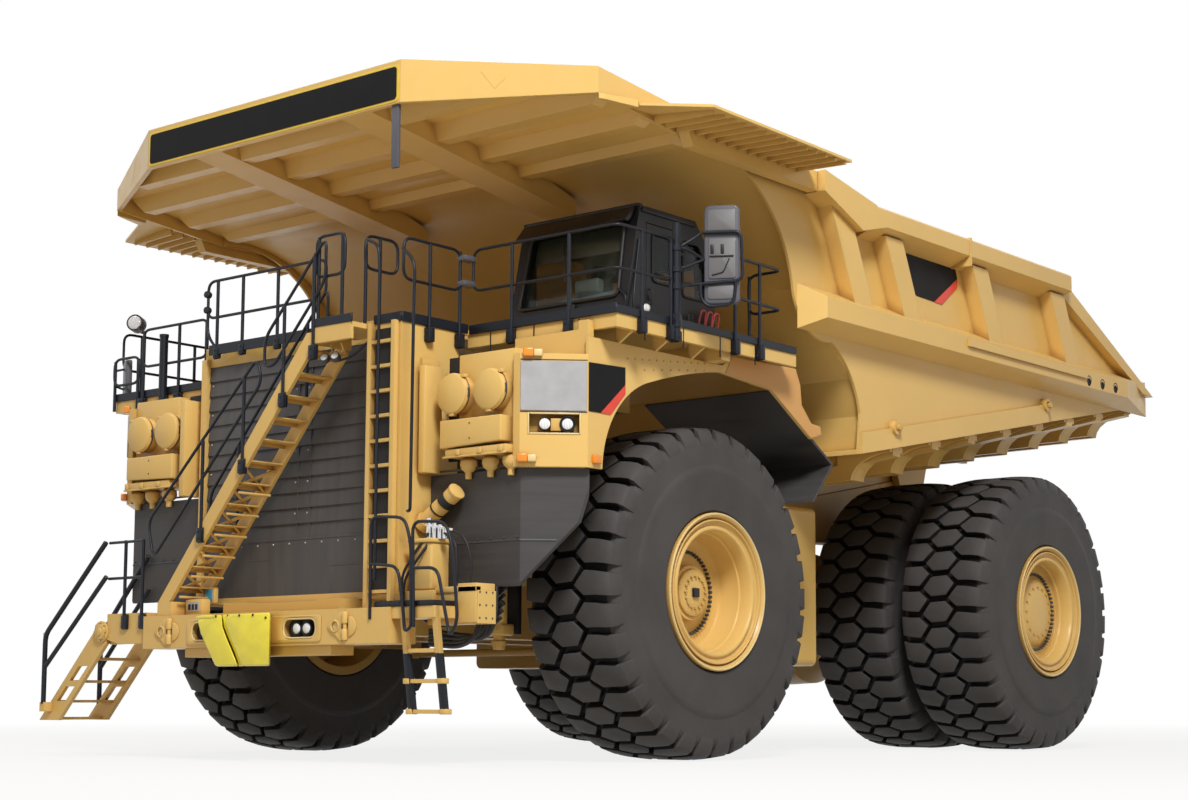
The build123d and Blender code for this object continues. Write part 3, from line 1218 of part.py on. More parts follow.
def fuel_tank():
    """Fuel tank on the left rail, with a row of straps' feet on its front face."""
    tank = block(RAIL_OUT, TANK_X1, TANK_Y0, TANK_Y1, TANK_LOW, 3360)
    tank = fillet(tank.edges().filter_by(Axis.Y), 90)
    for i in range(6):
        z = TANK_LOW + 250 + i * 330
        tank += side_cut([(TANK_Y0 - 70, z), (TANK_Y0 + 10, z - 40), (TANK_Y0 + 10, z + 60),
                          (TANK_Y0 - 70, z + 30)], TANK_X1 - 260, TANK_X1 - 60)
    return tank


def hydraulic_tank():
    """Hydraulic tank on the right rail, a lower box with rounded long edges."""
    tank = block(-TANK_X1, -RAIL_OUT, TANK_Y0, TANK_Y1, TANK_LOW, 3000)
    return fillet(tank.edges().filter_by(Axis.Y), 90)


def headlamps():
    """Round lamps in the headlight boxes and in the bumper's pockets."""
    lamps = []
    for x in (LAMP_X + 75, LAMP_X - 75):
        lamp = bar((x, BUMPER_FRONT + 20, LAMP_Z), (x, BUMPER_FRONT + 80, LAMP_Z), 62)
        lamps += both_sides(lamp)
    return lamps


def mirror_head(x, y, base_z, side):
    """Mirror head turned towards the cab, on a tall post clamped to the deck's edge band."""
    post = rail_tube((x, y, base_z - 180), (x, y, base_z + 1240), 40)
    clamp = block(side * DECK_HALF, x, y - 40, y + 40, base_z - 150, base_z - 60)
    head_place = Pos(x + side * 330, y + 380, base_z + 830) * Rot(0, 0, side * 30)
    head = head_place * fillet(Box(400, 90, 1180).edges().filter_by(Axis.Y), 60)
    arms = []
    for z in (base_z + 500, base_z + 1100):
        tip = (x + side * 330, y + 380, z)
        arms.append(rail_tube((x, y, z), tip, 20))
    return fused([post, clamp, head] + arms)


def rock_ejector():
    """Arm that hangs between the rear pair and knocks out stones."""
    x, y = REAR_TRACK / 2, WHEELBASE + 50
    z = floor_z(y)
    return side_cut([(y - 160, floor_z(y - 160)), (y + 160, floor_z(y + 160)), (y + 90, z - 480),
                     (y - 90, z - 480)], x - 45, x + 45)


def wheel_chocks():
    """Two wedge-shaped chocks stowed side by side on the bumper's front face."""
    y0, y1 = BUMPER_FRONT - 250, BUMPER_FRONT
    low, top = 1100, 1705
    return [front_cut([(-430, low), (-10, low), (-290, top - 40), (-420, top), (-790, top - 60)],
                      y0, y1),
            front_cut([(10, low), (560, low), (560, top), (-60, top), (-250, top - 70)], y0, y1)]


def save_fittings():
    save("fuel_tank", fuel_tank())
    save("hydraulic_tank", hydraulic_tank())
    save("wheel_chocks", *wheel_chocks())
    save("headlamps", *headlamps())
    save("mirrors", mirror_head(DECK_HALF + 60, -1290, DECK_Z, 1),
         mirror_head(-DECK_HALF - 120, -2200, RIGHT_DECK_Z, -1))
    save("rock_ejectors", *both_sides(rock_ejector()))


save_wheels()
save_steering()
save_frame()
save_front()
save_stairs()
save_cab()
save_body()
save_hoist()
save_fittings()
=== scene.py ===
import bpy
from math import cos, pi, radians, sin
from mathutils import Matrix, Vector


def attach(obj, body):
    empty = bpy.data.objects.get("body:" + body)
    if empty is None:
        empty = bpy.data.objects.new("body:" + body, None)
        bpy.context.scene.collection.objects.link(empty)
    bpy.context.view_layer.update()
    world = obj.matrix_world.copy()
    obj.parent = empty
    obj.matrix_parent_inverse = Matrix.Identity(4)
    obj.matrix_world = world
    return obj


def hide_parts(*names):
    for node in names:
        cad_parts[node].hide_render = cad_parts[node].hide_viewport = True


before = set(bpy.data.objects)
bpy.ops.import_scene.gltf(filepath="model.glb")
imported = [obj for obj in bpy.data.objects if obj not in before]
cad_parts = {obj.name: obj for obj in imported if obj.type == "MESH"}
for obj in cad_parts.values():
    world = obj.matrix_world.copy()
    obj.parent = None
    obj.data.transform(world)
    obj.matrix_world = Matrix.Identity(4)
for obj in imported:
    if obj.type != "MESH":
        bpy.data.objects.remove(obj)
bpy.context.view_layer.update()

# The truck stands on z = 0, faces -Y, and its own left side is +X.  Metres.
# Body sizes that several pieces share, as the frame gives them.
FRONT_AXLE_Y = -3.615
REAR_AXLE_Y = 3.58
AXLE_Z = 2.0
FRONT_TYRE_X = 3.267
REAR_TYRES_X = (2.351, 3.881)
FRONT_RIM_X = 3.967       # outer faces of the rims
REAR_RIM_X = 4.581
HUB_X = 3.617             # outer face of the front hubs
FENDER_X = 4.041          # outer faces that badges and panels are laid on
BODY_X = 4.281
BUMPER_LAMP_X = 0.83


# ---- camera and studio --------------------------------------------------------------
def set_camera():
    """The main view: low, ahead of the truck and to its left."""
    camera_data = bpy.data.cameras.new("camera")
    camera = bpy.data.objects.new("camera", camera_data)
    bpy.context.collection.objects.link(camera)
    camera.location = (18.215, -22.486, 0.735)
    camera.rotation_euler = (1.677846, -0.001281, 0.670578)
    camera_data.lens = 60.158
    camera_data.sensor_width = 36.0
    camera_data.shift_x = -0.0644
    camera_data.shift_y = 0.0717
    camera_data.clip_end = 500.0
    bpy.context.scene.camera = camera


def soft_lamp(name, energy, size, place, target):
    """A round area lamp that looks at the target."""
    data = bpy.data.lights.new(name, "AREA")
    data.energy, data.shape, data.size = energy, "DISK", size
    lamp = bpy.data.objects.new(name, data)
    lamp.location = place
    lamp.rotation_euler = (Vector(target) - Vector(place)).to_track_quat("-Z", "Y").to_euler()
    bpy.context.collection.objects.link(lamp)


# ---- materials ----------------------------------------------------------------------
class Reading:
    """A socket that can be used in sums, so that a mask is written as arithmetic."""

    def __init__(self, nodes, socket):
        self.nodes = nodes
        self.socket = socket

    def maths(self, operation, *values):
        return self.nodes.node("ShaderNodeMath", {"operation": operation}, values)

    def __add__(self, other):
        return self.maths("ADD", self, other)

    def __sub__(self, other):
        return self.maths("SUBTRACT", self, other)

    def __rsub__(self, other):
        return self.maths("SUBTRACT", other, self)

    def __radd__(self, other):
        return self.maths("ADD", other, self)

    def __mul__(self, other):
        return self.maths("MULTIPLY", self, other)

    def output(self, name):
        """Another output of the same node."""
        return Reading(self.nodes, self.socket.node.outputs[name])

    def between(self, low, high):
        """0 below low, 1 above high and a straight climb between them."""
        return self.nodes.node("ShaderNodeMapRange", {"clamp": True},
                               {"Value": self, "From Min": low, "From Max": high})


class Nodes:
    """A node tree being written: a node's settings, then the values or links of its sockets."""

    def __init__(self, tree):
        self.tree = tree

    def feed(self, socket, value):
        if isinstance(value, Reading):
            self.tree.links.new(value.socket, socket)
        else:
            socket.default_value = value

    def node(self, kind, settings=None, inputs=(), output=0):
        made = self.tree.nodes.new(kind)
        for name, value in (settings or {}).items():
            setattr(made, name, value)
        pairs = inputs.items() if isinstance(inputs, dict) else enumerate(inputs)
        for key, value in pairs:
            self.feed(made.inputs[key], value)
        return Reading(self, made.outputs[output])

    def blend(self, mask, below, above):
        """One colour turning into another as the mask goes from 0 to 1."""
        inputs = {"Factor": mask, "A": below, "B": above}
        made = self.tree.nodes.new("ShaderNodeMix")
        made.data_type = "RGBA"
        for socket in made.inputs:
            if socket.enabled and socket.name in inputs:
                value = inputs[socket.name]
                if isinstance(value, tuple):
                    value = (*value, 1.0)
                self.feed(socket, value)
        colour = [out for out in made.outputs if out.enabled][0]
        return Reading(self, colour)


class Finish(Nodes):
    """A material being mixed: its surface shader and the nodes that feed it."""

    def __init__(self, name, colour, rough, **constants):
        self.material = bpy.data.materials.new(name)
        self.material.use_nodes = True
        super().__init__(self.material.node_tree)
        self.surface = self.tree.nodes["Principled BSDF"]
        self.paint(base_color=(*colour, 1.0), roughness=rough, **constants)

    def paint(self, **values):
        """Feeds the shader's sockets by name, such as base_color."""
        for word, value in values.items():
            socket = word.replace("_", " ").title().replace("Ior", "IOR")
            self.feed(self.surface.inputs[socket], value)

    def place(self):
        return self.node("ShaderNodeTexCoord", output="Object")

    def noise(self, scale, detail=3.0, stretch=(1, 1, 1)):
        where = self.node("ShaderNodeMapping", inputs={"Vector": self.place(), "Scale": stretch})
        inputs = {"Vector": where, "Scale": scale, "Detail": detail}
        return self.node("ShaderNodeTexNoise", inputs=inputs)

    def wave(self, direction, scale):
        return self.node("ShaderNodeTexWave", {"bands_direction": direction},
                         {"Vector": self.place(), "Scale": scale})

    def bumps(self, height, strength, distance, rounding=0.0):
        inputs = {"Height": height, "Strength": strength, "Distance": distance}
        if rounding:
            inputs["Normal"] = self.rounded_normal(rounding)
        return self.node("ShaderNodeBump", inputs=inputs)

    def rounded_normal(self, radius):
        return self.node("ShaderNodeBevel", {"samples": 3}, {"Radius": radius})

    def edges(self, radius):
        """1 on sharp edges and 0 on flat faces, from how far the rounded normal turns."""
        flat = self.node("ShaderNodeNewGeometry", output="Normal")
        turn = self.node("ShaderNodeVectorMath", {"operation": "DOT_PRODUCT"},
                         [self.rounded_normal(radius), flat], output="Value")
        return (1.0 - turn).between(0.02, 0.22)


def toned(colour, scale, lift=0.0):
    """A colour made deeper or lighter."""
    return tuple(c * scale + lift for c in colour)


YELLOW = (0.79, 0.52, 0.165)
PALE_YELLOW = (0.84, 0.65, 0.31)


def machine_paint(name, colour, rough=0.38, radius=0.012):
    """Satin machine enamel: faint cloudiness, dust, edges painted brighter (part wear, part painted
    highlight), painted shade in the crevices and a little orange peel.
    """
    paint = Finish(name, colour, rough, coat_weight=0.12, coat_roughness=0.25, specular_ior_level=0.28)
    cloud = paint.noise(0.7, 4.0).between(0.3, 0.7)
    dust = paint.noise(5.0, 5.0).between(0.45, 0.75)
    worn_and_lit_edge = tuple(min(1.0, c) for c in toned(colour, 1.12, 0.03))
    # Painted shade: a deeper orange-brown that ambient occlusion lays into corners, creases and the gaps
    # between parts.
    painted_crevice_shade = tuple(c * share for c, share in zip(colour, (0.42, 0.3, 0.22)))
    hidden = paint.node("ShaderNodeAmbientOcclusion", {"samples": 4}, {"Distance": 0.16}, "AO")
    shade = paint.blend(cloud, toned(colour, 0.93), colour)
    shade = paint.blend(dust * 0.25, shade, toned(colour, 0.9, 0.05))
    # Edges painted brighter: part wear, part painted highlight of rounded edges.
    shade = paint.blend(paint.edges(radius) * 0.5, shade, worn_and_lit_edge)
    shade = paint.blend((1.0 - hidden).between(0.22, 0.75) * 0.75, shade, painted_crevice_shade)
    paint.paint(base_color=shade, roughness=rough - 0.05 + dust * 0.14,
                normal=paint.bumps(paint.noise(60.0, 2.0), 0.05, 0.004, radius))
    return paint.material


def dark_enamel(name, colour, rough=0.42, radius=0.008, gloss=0.28):
    """Black or grey enamel with dust that dulls it in patches; its edges are painted lighter, part wear and
    part painted highlight.
    """
    paint = Finish(name, colour, rough, specular_ior_level=gloss)
    dust = paint.noise(3.0, 5.0).between(0.4, 0.8)
    shade = paint.blend(dust * 0.6, colour, toned(colour, 1.25, 0.006))
    shade = paint.blend(paint.edges(radius) * 0.45, shade, toned(colour, 1.6, 0.035))
    paint.paint(base_color=shade, roughness=rough + dust * 0.15,
                normal=paint.bumps(paint.noise(45.0, 2.0), 0.05, 0.004, radius))
    return paint.material


def tyre_rubber():
    """Matt black rubber: cloudy tone, lighter scuffs and a fine grain."""
    rubber = Finish("tyre_rubber", (0.055, 0.05, 0.05), 0.72, specular_ior_level=0.35)
    cloud = rubber.noise(1.6, 6.0).between(0.35, 0.7)
    grain = rubber.noise(26.0, 4.0).between(0.4, 0.7)
    shade = rubber.blend(cloud, (0.046, 0.043, 0.043), (0.066, 0.061, 0.061))
    shade = rubber.blend(grain * 0.3, shade, (0.088, 0.082, 0.08))
    fine = rubber.noise(90.0, 3.0)
    rubber.paint(base_color=shade, roughness=0.66 + grain * 0.16,
                 normal=rubber.bumps(fine + cloud * 0.6, 0.18, 0.006))
    return rubber.material


def guard_rubber(name="guard_rubber", level=1.0):
    """Thick rubber sheet, smoother than the tyres, with faint long rolling marks."""
    # A level below 1 darkens the copy: painted shade.
    low, high = (toned(tone, level) for tone in ((0.042, 0.039, 0.04), (0.062, 0.058, 0.058)))
    rubber = Finish(name, low, 0.6, specular_ior_level=0.4 * level)
    marks = rubber.noise(2.0, 5.0, (0.5, 0.5, 6.0)).between(0.35, 0.7)
    rubber.paint(base_color=rubber.blend(marks, low, high), roughness=0.5 + marks * 0.16,
                 normal=rubber.bumps(rubber.noise(30.0, 3.0), 0.1, 0.005, 0.01))
    return rubber.material


def grille_steel():
    """Dark grey sheet steel of the radiator cover, smudged downwards by rain."""
    steel = Finish("grille_steel", (0.068, 0.063, 0.064), 0.5, specular_ior_level=0.4)
    streaks = steel.noise(3.0, 5.0, (3.0, 1.0, 0.25)).between(0.35, 0.75)
    shade = steel.blend(streaks, (0.058, 0.054, 0.055), (0.088, 0.082, 0.082))
    # Edges painted lighter: part wear, part painted highlight.
    shade = steel.blend(steel.edges(0.008) * 0.5, shade, (0.16, 0.15, 0.15))
    steel.paint(base_color=shade, roughness=0.42 + streaks * 0.16,
                normal=steel.bumps(steel.noise(50.0, 2.0), 0.06, 0.004, 0.008))
    return steel.material


def bare_iron():
    """Cast engine iron, dark and slightly rough."""
    iron = Finish("bare_iron", (0.12, 0.12, 0.125), 0.55, metallic=0.3)
    pits = iron.noise(18.0, 5.0)
    iron.paint(base_color=iron.blend(pits, (0.09, 0.09, 0.095), (0.17, 0.165, 0.16)),
               normal=iron.bumps(pits, 0.3, 0.008, 0.02))
    return iron.material


def polished_rod():
    """Hard chrome with fine rings left by the seals."""
    chrome = Finish("polished_rod", (0.76, 0.76, 0.77), 0.12, metallic=1.0)
    rings = chrome.noise(14.0, 3.0, (0.2, 0.2, 6.0))
    chrome.paint(base_color=chrome.blend(rings, (0.7, 0.7, 0.71), (0.82, 0.82, 0.83)),
                 roughness=0.08 + rings * 0.1)
    return chrome.material


def tinted_glass():
    """Dark green cab glass, faintly dusty; it shows the studio behind it."""
    glass = Finish("tinted_glass", (0.02, 0.03, 0.025), 0.04, ior=1.5)
    dust = glass.noise(4.0, 5.0).between(0.45, 0.8)
    glass.paint(base_color=glass.blend(dust, (0.012, 0.02, 0.017), (0.06, 0.075, 0.065)),
                roughness=0.03 + dust * 0.06, alpha=0.3 + dust * 0.1)
    return glass.material


def glossy_plastic(name, colour, rough=0.3):
    """Moulded plastic with a soft sheen and a fine grain."""
    plastic = Finish(name, colour, rough, coat_weight=0.3, coat_roughness=0.12)
    cloud = plastic.noise(6.0, 4.0).between(0.35, 0.7)
    plastic.paint(base_color=plastic.blend(cloud, toned(colour, 0.88), colour),
                  roughness=rough + cloud * 0.08,
                  normal=plastic.bumps(plastic.noise(80.0, 2.0), 0.06, 0.002, 0.008))
    return plastic.material


def lamp_white():
    """Bright reflector and lens of a headlamp, with a ribbed glass front."""
    lamp = Finish("lamp_white", (0.86, 0.88, 0.92), 0.1, coat_weight=0.8, coat_roughness=0.05)
    ribs = lamp.wave("X", 14.0)
    lamp.paint(base_color=lamp.blend(ribs, (0.7, 0.73, 0.8), (0.94, 0.95, 0.97)),
               normal=lamp.bumps(ribs, 0.3, 0.004))
    return lamp.material


def woven_cloth():
    """Seat cloth: a small weave over a soft dark pile."""
    cloth = Finish("woven_cloth", (0.05, 0.05, 0.06), 0.9, sheen_weight=0.3)
    weave = cloth.wave("X", 70.0) * 0.5 + cloth.wave("Z", 70.0) * 0.5
    cloth.paint(base_color=cloth.blend(weave, (0.035, 0.035, 0.042), (0.09, 0.09, 0.1)),
                normal=cloth.bumps(weave, 0.3, 0.003))
    return cloth.material


FINISHES = {
    "yellow": machine_paint("machine_yellow", YELLOW),
    # A darker, more orange copy of the machine yellow: painted shade, for the frame, running gear, rims and
    # small fittings.
    "shaded_yellow": machine_paint("shaded_machine_yellow", (0.7, 0.44, 0.125), 0.5, 0.02),
    "pale": machine_paint("pale_yellow", PALE_YELLOW, 0.34),
    "dark": dark_enamel("cab_enamel", (0.011, 0.0105, 0.012), 0.38),
    "rail": dark_enamel("rail_enamel", (0.008, 0.01, 0.016), 0.35, 0.004),
    "grille": grille_steel(),
    "tyre": tyre_rubber(),
    "guard": guard_rubber(),
    "iron": bare_iron(),
    "chrome": polished_rod(),
    "glass": tinted_glass(),
    "chock": glossy_plastic("chock_plastic", (0.96, 0.83, 0.05)),
    "mirror_grey": glossy_plastic("mirror_grey", (0.08, 0.08, 0.098), 0.55),
    "plate_grey": glossy_plastic("plate_grey", (0.42, 0.42, 0.44), 0.4),
    "sign_black": dark_enamel("sign_black", (0.01, 0.0095, 0.01), 0.45, gloss=0.08),
    "red": glossy_plastic("badge_red", (0.78, 0.05, 0.025), 0.45),
    "amber": glossy_plastic("amber_lens", (0.92, 0.3, 0.015), 0.15),
    "lens": lamp_white(),
    "cloth": woven_cloth(),
    "hose": dark_enamel("hose_black", (0.018, 0.017, 0.017), 0.42),
    "red_hose": glossy_plastic("hose_red", (0.45, 0.05, 0.04), 0.45),
    "tan": machine_paint("tan_panel", (0.7, 0.38, 0.13), 0.5),
    "bolt": dark_enamel("bolt_steel", (0.06, 0.06, 0.065), 0.4),
    # Darker copies of the guard rubber: painted shade, in the tread's grooves and on sheets set where shade
    # falls.
    "groove_shade": guard_rubber("tread_groove_shade", 0.35),
    "shade": guard_rubber("shaded_panel", 0.45),
    "mirror_panel": glossy_plastic("mirror_panel", (0.135, 0.128, 0.135), 0.5),
    "sign_yellow": glossy_plastic("sign_yellow", (0.9, 0.62, 0.05), 0.4),
    "blue": glossy_plastic("gauge_blue", (0.05, 0.42, 0.75)),
    "visor": glossy_plastic("visor_green", (0.13, 0.145, 0.1)),
    "console": glossy_plastic("console_green", (0.42, 0.55, 0.5)),
}

NODE_FINISH = {
    "dark": ["cab_shell", "cab_door", "dashboard"],
    "rail": ["deck_handrails", "stairway_handrails", "mirrors"],
    "grille": ["radiator_grille"],
    "tyre": ["front_left_tyre", "front_right_tyre", "rear_left_tyres", "rear_right_tyres"],
    "guard": ["mudguards"],
    "iron": ["engine_block"],
    "chrome": ["hoist_stages", "hoist_rods"],
    "glass": ["cab_windows"],
    "cloth": ["operator_seat"],
    "chock": ["wheel_chocks"],
    "lens": ["headlamps"],
    "shaded_yellow": ["main_frame", "rear_axle", "suspension_struts", "left_knuckle", "right_knuckle",
                "tie_rod", "hoist_barrels", "front_left_rim", "front_right_rim",
                "rear_left_rims", "rear_right_rims"],
}


def dress_frame():
    """Gives every carried-over node its finish; what isn't listed is machine yellow."""
    finish_of = {node: key for key, nodes in NODE_FINISH.items() for node in nodes}
    for name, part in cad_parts.items():
        part.data.materials.clear()
        part.data.materials.append(FINISHES[finish_of.get(name, "yellow")])


# ---- ways of making pieces --------------------------------------------------------------
def begin():
    """Nothing selected and nothing being edited."""
    if bpy.context.object and bpy.context.object.mode != "OBJECT":
        bpy.ops.object.mode_set(mode="OBJECT")
    bpy.ops.object.select_all(action="DESELECT")


def chosen(piece):
    """The piece active and selected, and nothing else."""
    begin()
    bpy.context.view_layer.objects.active = piece
    piece.select_set(True)
    return piece


def linked(data):
    """A new object that shows the data, active and selected."""
    piece = bpy.data.objects.new("piece", data)
    bpy.context.collection.objects.link(piece)
    return chosen(piece)


def sketch(points, edges=(), faces=()):
    """A new object from bare points."""
    mesh = bpy.data.meshes.new("piece")
    mesh.from_pydata(points, edges, faces)
    return linked(mesh)


def baked():
    """The object just made, its place baked into its mesh."""
    bpy.ops.object.transform_apply(location=True, rotation=True, scale=True)
    return bpy.context.object


def edit_all(**steps):
    """Runs operators of bpy.ops.mesh in turn, each on the whole active mesh."""
    bpy.ops.object.mode_set(mode="EDIT")
    for step, settings in steps.items():
        bpy.ops.mesh.select_all(action="SELECT")
        getattr(bpy.ops.mesh, step)(**settings)
    bpy.ops.object.mode_set(mode="OBJECT")
    return bpy.context.object


OUTWARDS = {"inside": False}


def settle(name, finish, body="chassis"):
    """Names the piece just made, bakes its place into its mesh and lets it ride."""
    piece = baked()
    bpy.ops.object.shade_smooth_by_angle(angle=radians(38))
    piece.name = piece.data.name = name
    piece.data.materials.clear()
    piece.data.materials.append(FINISHES[finish])
    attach(piece, body)
    return piece


def put(name, finish, parts, body="chassis", both=False):
    """Joins fresh meshes, mirrors them where both sides have them, and settles them."""
    piece = joined(parts if isinstance(parts, list) else [parts])
    if both:
        both_sides(piece)
    chosen(piece)
    return settle(name, finish, body)


def modified(piece, kind, **settings):
    """Adds a modifier, sets it and applies it."""
    bpy.context.view_layer.objects.active = piece
    modifier = piece.modifiers.new(kind.lower(), kind)
    for key, value in settings.items():
        setattr(modifier, key, value)
    bpy.ops.object.modifier_apply(modifier=modifier.name)
    return piece


def bevelled(piece, width, segments=2):
    """Eases a piece's sharp edges."""
    return modified(piece, "BEVEL", width=width, segments=segments)


def softened(piece, width, segments=2):
    """Rounds a piece's edges and smooths its shading."""
    modified(piece, "BEVEL", width=width, segments=segments, limit_method="ANGLE", angle_limit=radians(35))
    piece.select_set(True)
    bpy.ops.object.shade_smooth_by_angle(angle=radians(40))
    piece.select_set(False)
    return piece


def joined(pieces):
    """Several fresh meshes as one object."""
    begin()
    for piece in pieces:
        piece.select_set(True)
    bpy.context.view_layer.objects.active = pieces[0]
    if len(pieces) > 1:
        bpy.ops.object.join()
    return bpy.context.object


def block(low, high):
    """A box between two corners."""
    begin()
    middle = [(a + b) / 2 for a, b in zip(low, high)]
    size = [abs(b - a) for a, b in zip(low, high)]
    bpy.ops.mesh.primitive_cube_add(size=1.0, location=middle, scale=size)
    return baked()


def eased(low, high, width=0.008, segments=2):
    """A box with eased edges."""
    return bevelled(block(low, high), width, segments)


def drawn(points, depth):
    """A flat outline of 3-D points, filled and pulled out along a depth vector."""
    count = len(points)
    sketch(points, [(i, (i + 1) % count) for i in range(count)])
    return edit_all(edge_face_add={}, extrude_region_move={"TRANSFORM_OT_translate": {"value": depth}},
                    normals_make_consistent=OUTWARDS)


def at_x(x, points):
    """Points given as (y, z)."""
    return [(x, y, z) for y, z in points]


def at_y(y, points):
    """Points given as (x, z)."""
    return [(x, y, z) for x, z in points]


def round_bar(start, end, radius, sides=20):
    """A cylinder between two points."""
    begin()
    a, b = Vector(start), Vector(end)
    turn = (b - a).to_track_quat("Z", "Y").to_euler()
    bpy.ops.mesh.primitive_cylinder_add(vertices=sides, radius=radius, depth=(b - a).length,
                                        location=(a + b) / 2, rotation=turn)
    return baked()


def turned(profile, centre=(0, 0, 0), steps=64):
    """A shape spun about an X line through centre, from (x, radius) points."""
    line = [(x, centre[1], centre[2] + r) for x, r in profile]
    sketch(line, [(i, i + 1) for i in range(len(line) - 1)])
    return edit_all(spin={"steps": steps, "angle": 2 * pi, "center": centre, "axis": (1, 0, 0)},
                    remove_doubles={"threshold": 0.0005}, normals_make_consistent=OUTWARDS)


def bent_tube(points, radius, corner=0.12, sides=3, closed=False):
    """A round tube along straight runs, its corners swept round."""
    begin()
    curve = bpy.data.curves.new("tube", "CURVE")
    curve.dimensions = "3D"
    curve.bevel_depth = radius
    curve.bevel_resolution = sides
    curve.use_fill_caps = True
    line = curve.splines.new("POLY")
    path = []
    count = len(points)
    for i, point in enumerate(points):
        here = Vector(point)
        inner = closed or 0 < i < count - 1
        if not inner or corner <= 0:
            path.append(here)
            continue
        before, after = Vector(points[i - 1]), Vector(points[(i + 1) % count])
        back, on = (before - here), (after - here)
        cut = min(corner, back.length / 2.05, on.length / 2.05)
        start, end = here + back.normalized() * cut, here + on.normalized() * cut
        for step in range(6):
            t = step / 5
            path.append(start.lerp(here, t).lerp(here.lerp(end, t), t))
    line.points.add(len(path) - 1)
    for spot, at in zip(line.points, path):
        spot.co = (*at, 1.0)
    line.use_cyclic_u = closed
    tube = bpy.data.objects.new("tube", curve)
    bpy.context.collection.objects.link(tube)
    bpy.context.view_layer.objects.active = tube
    tube.select_set(True)
    bpy.ops.object.convert(target="MESH")
    bpy.ops.object.shade_smooth_by_angle(angle=radians(45))
    return bpy.context.object


def twin_of(piece, matrix):
    """A copy of the piece carried to another place and turn."""
    twin = piece.copy()
    twin.data = piece.data.copy()
    bpy.context.collection.objects.link(twin)
    return moved(twin, matrix)


def copies(piece, shifts):
    """The piece and a copy of it at each further shift, as one object."""
    return joined([piece] + [twin_of(piece, Matrix.Translation(shift)) for shift in shifts])


def both_sides(piece):
    """The piece and its mirror image across the truck, as one object."""
    chosen(piece)
    return modified(piece, "MIRROR", use_axis=(True, False, False), merge_threshold=0.0001)


def moved(piece, matrix):
    """The piece carried to another place and turn."""
    piece.data.transform(matrix)
    return piece


def rounded_outline(low, high, radius, steps=5):
    """(a, b) points of a rectangle with rounded corners."""
    (a0, b0), (a1, b1) = low, high
    corners = [(a1 - radius, b1 - radius, 0), (a0 + radius, b1 - radius, 1),
               (a0 + radius, b0 + radius, 2), (a1 - radius, b0 + radius, 3)]
    points = []
    for a, b, quarter in corners:
        for step in range(steps):
            angle = (quarter + step / (steps - 1)) * pi / 2
            points.append((a + radius * cos(angle), b + radius * sin(angle)))
    return points


def rounded_plate(low, high, y, thick, radius):
    """A plate facing -Y at y, its corners rounded; low and high are (x, z)."""
    outline = [(x, y, z) for x, z in rounded_outline(low, high, radius)]
    return drawn(outline, (0, thick, 0))


def hexagon(size, length, chamfer, place, turn):
    """A six-sided nut or bolt head with chamfered edges."""
    begin()
    bpy.ops.mesh.primitive_cylinder_add(vertices=6, radius=size, depth=length, location=place,
                                        rotation=turn)
    baked()
    return edit_all(bevel={"offset": size * chamfer, "segments": 1, "affect": "EDGES"})


def bolts(places, direction, size=0.014, proud=0.012):
    """Hexagon heads at each place, standing out along a direction."""
    out = Vector(direction)
    head = hexagon(size, proud, 0.2, (0, 0, 0), out.to_track_quat("Z", "Y").to_euler())
    moved(head, Matrix.Translation(Vector(places[0]) + out * (proud * 0.4)))
    return copies(head, [Vector(p) - Vector(places[0]) for p in places[1:]])


# ---- tyres --------------------------------------------------------------------------------
TYRE_R = 2.0
LUGS = 34
LUG_DEPTH = 0.14
LUG_BEVEL = 0.014
GROOVE_REACH = (1.8, 1.932)   # radii of the ground between the middle blocks
GROOVE_HALF = 0.56            # and how far it goes each way from the tyre's middle
# The tread is laid out flat, x across and y along it, for one pitch of the pattern.
HEXAGON = [(-0.245, -0.03), (-0.115, -0.15), (0.125, -0.135), (0.245, 0.03), (0.115, 0.15),
           (-0.125, 0.135)]
SHOULDER = [  # x, lowest and highest place along the tread, radius of a lug's face
    (0.17, 0.188, 0.198, 1.998), (0.23, 0.136, 0.272, 1.997), (0.305, 0.074, 0.362, 1.994),
    (0.45, 0.074, 0.352, 1.982), (0.57, 0.064, 0.334, 1.966), (0.625, 0.058, 0.326, 1.925),
    (0.655, 0.056, 0.322, 1.85), (0.668, 0.062, 0.314, 1.77),
]
CARCASS = [  # x and radius from the outer bead over the tread's ground, one half
    (0.5, 0.925), (0.655, 0.949), (0.684, 0.975), (0.69, 1.1), (0.694, 1.28), (0.697, 1.42),
    (0.694, 1.485), (0.682, 1.5), (0.676, 1.53), (0.672, 1.62), (0.662, 1.7), (0.664, 1.735),
    (0.65, 1.79), (0.615, 1.845), (0.55, 1.872), (0.4, 1.884), (0.2, 1.889), (0.0, 1.89),
]


def wrapped(piece):
    """Curves a flat strip of tread round the wheel: y ran along it and z was its radius."""
    for vertex in piece.data.vertices:
        angle = vertex.co.y / TYRE_R
        reach = vertex.co.z
        vertex.co.y, vertex.co.z = reach * sin(angle), reach * cos(angle)
    return piece


def tread_block():
    """One six-sided block of the middle row."""
    face = [(x, y, TYRE_R - 0.004) for x, y in HEXAGON]
    return bevelled(drawn(face, (0, 0, -LUG_DEPTH)), LUG_BEVEL)


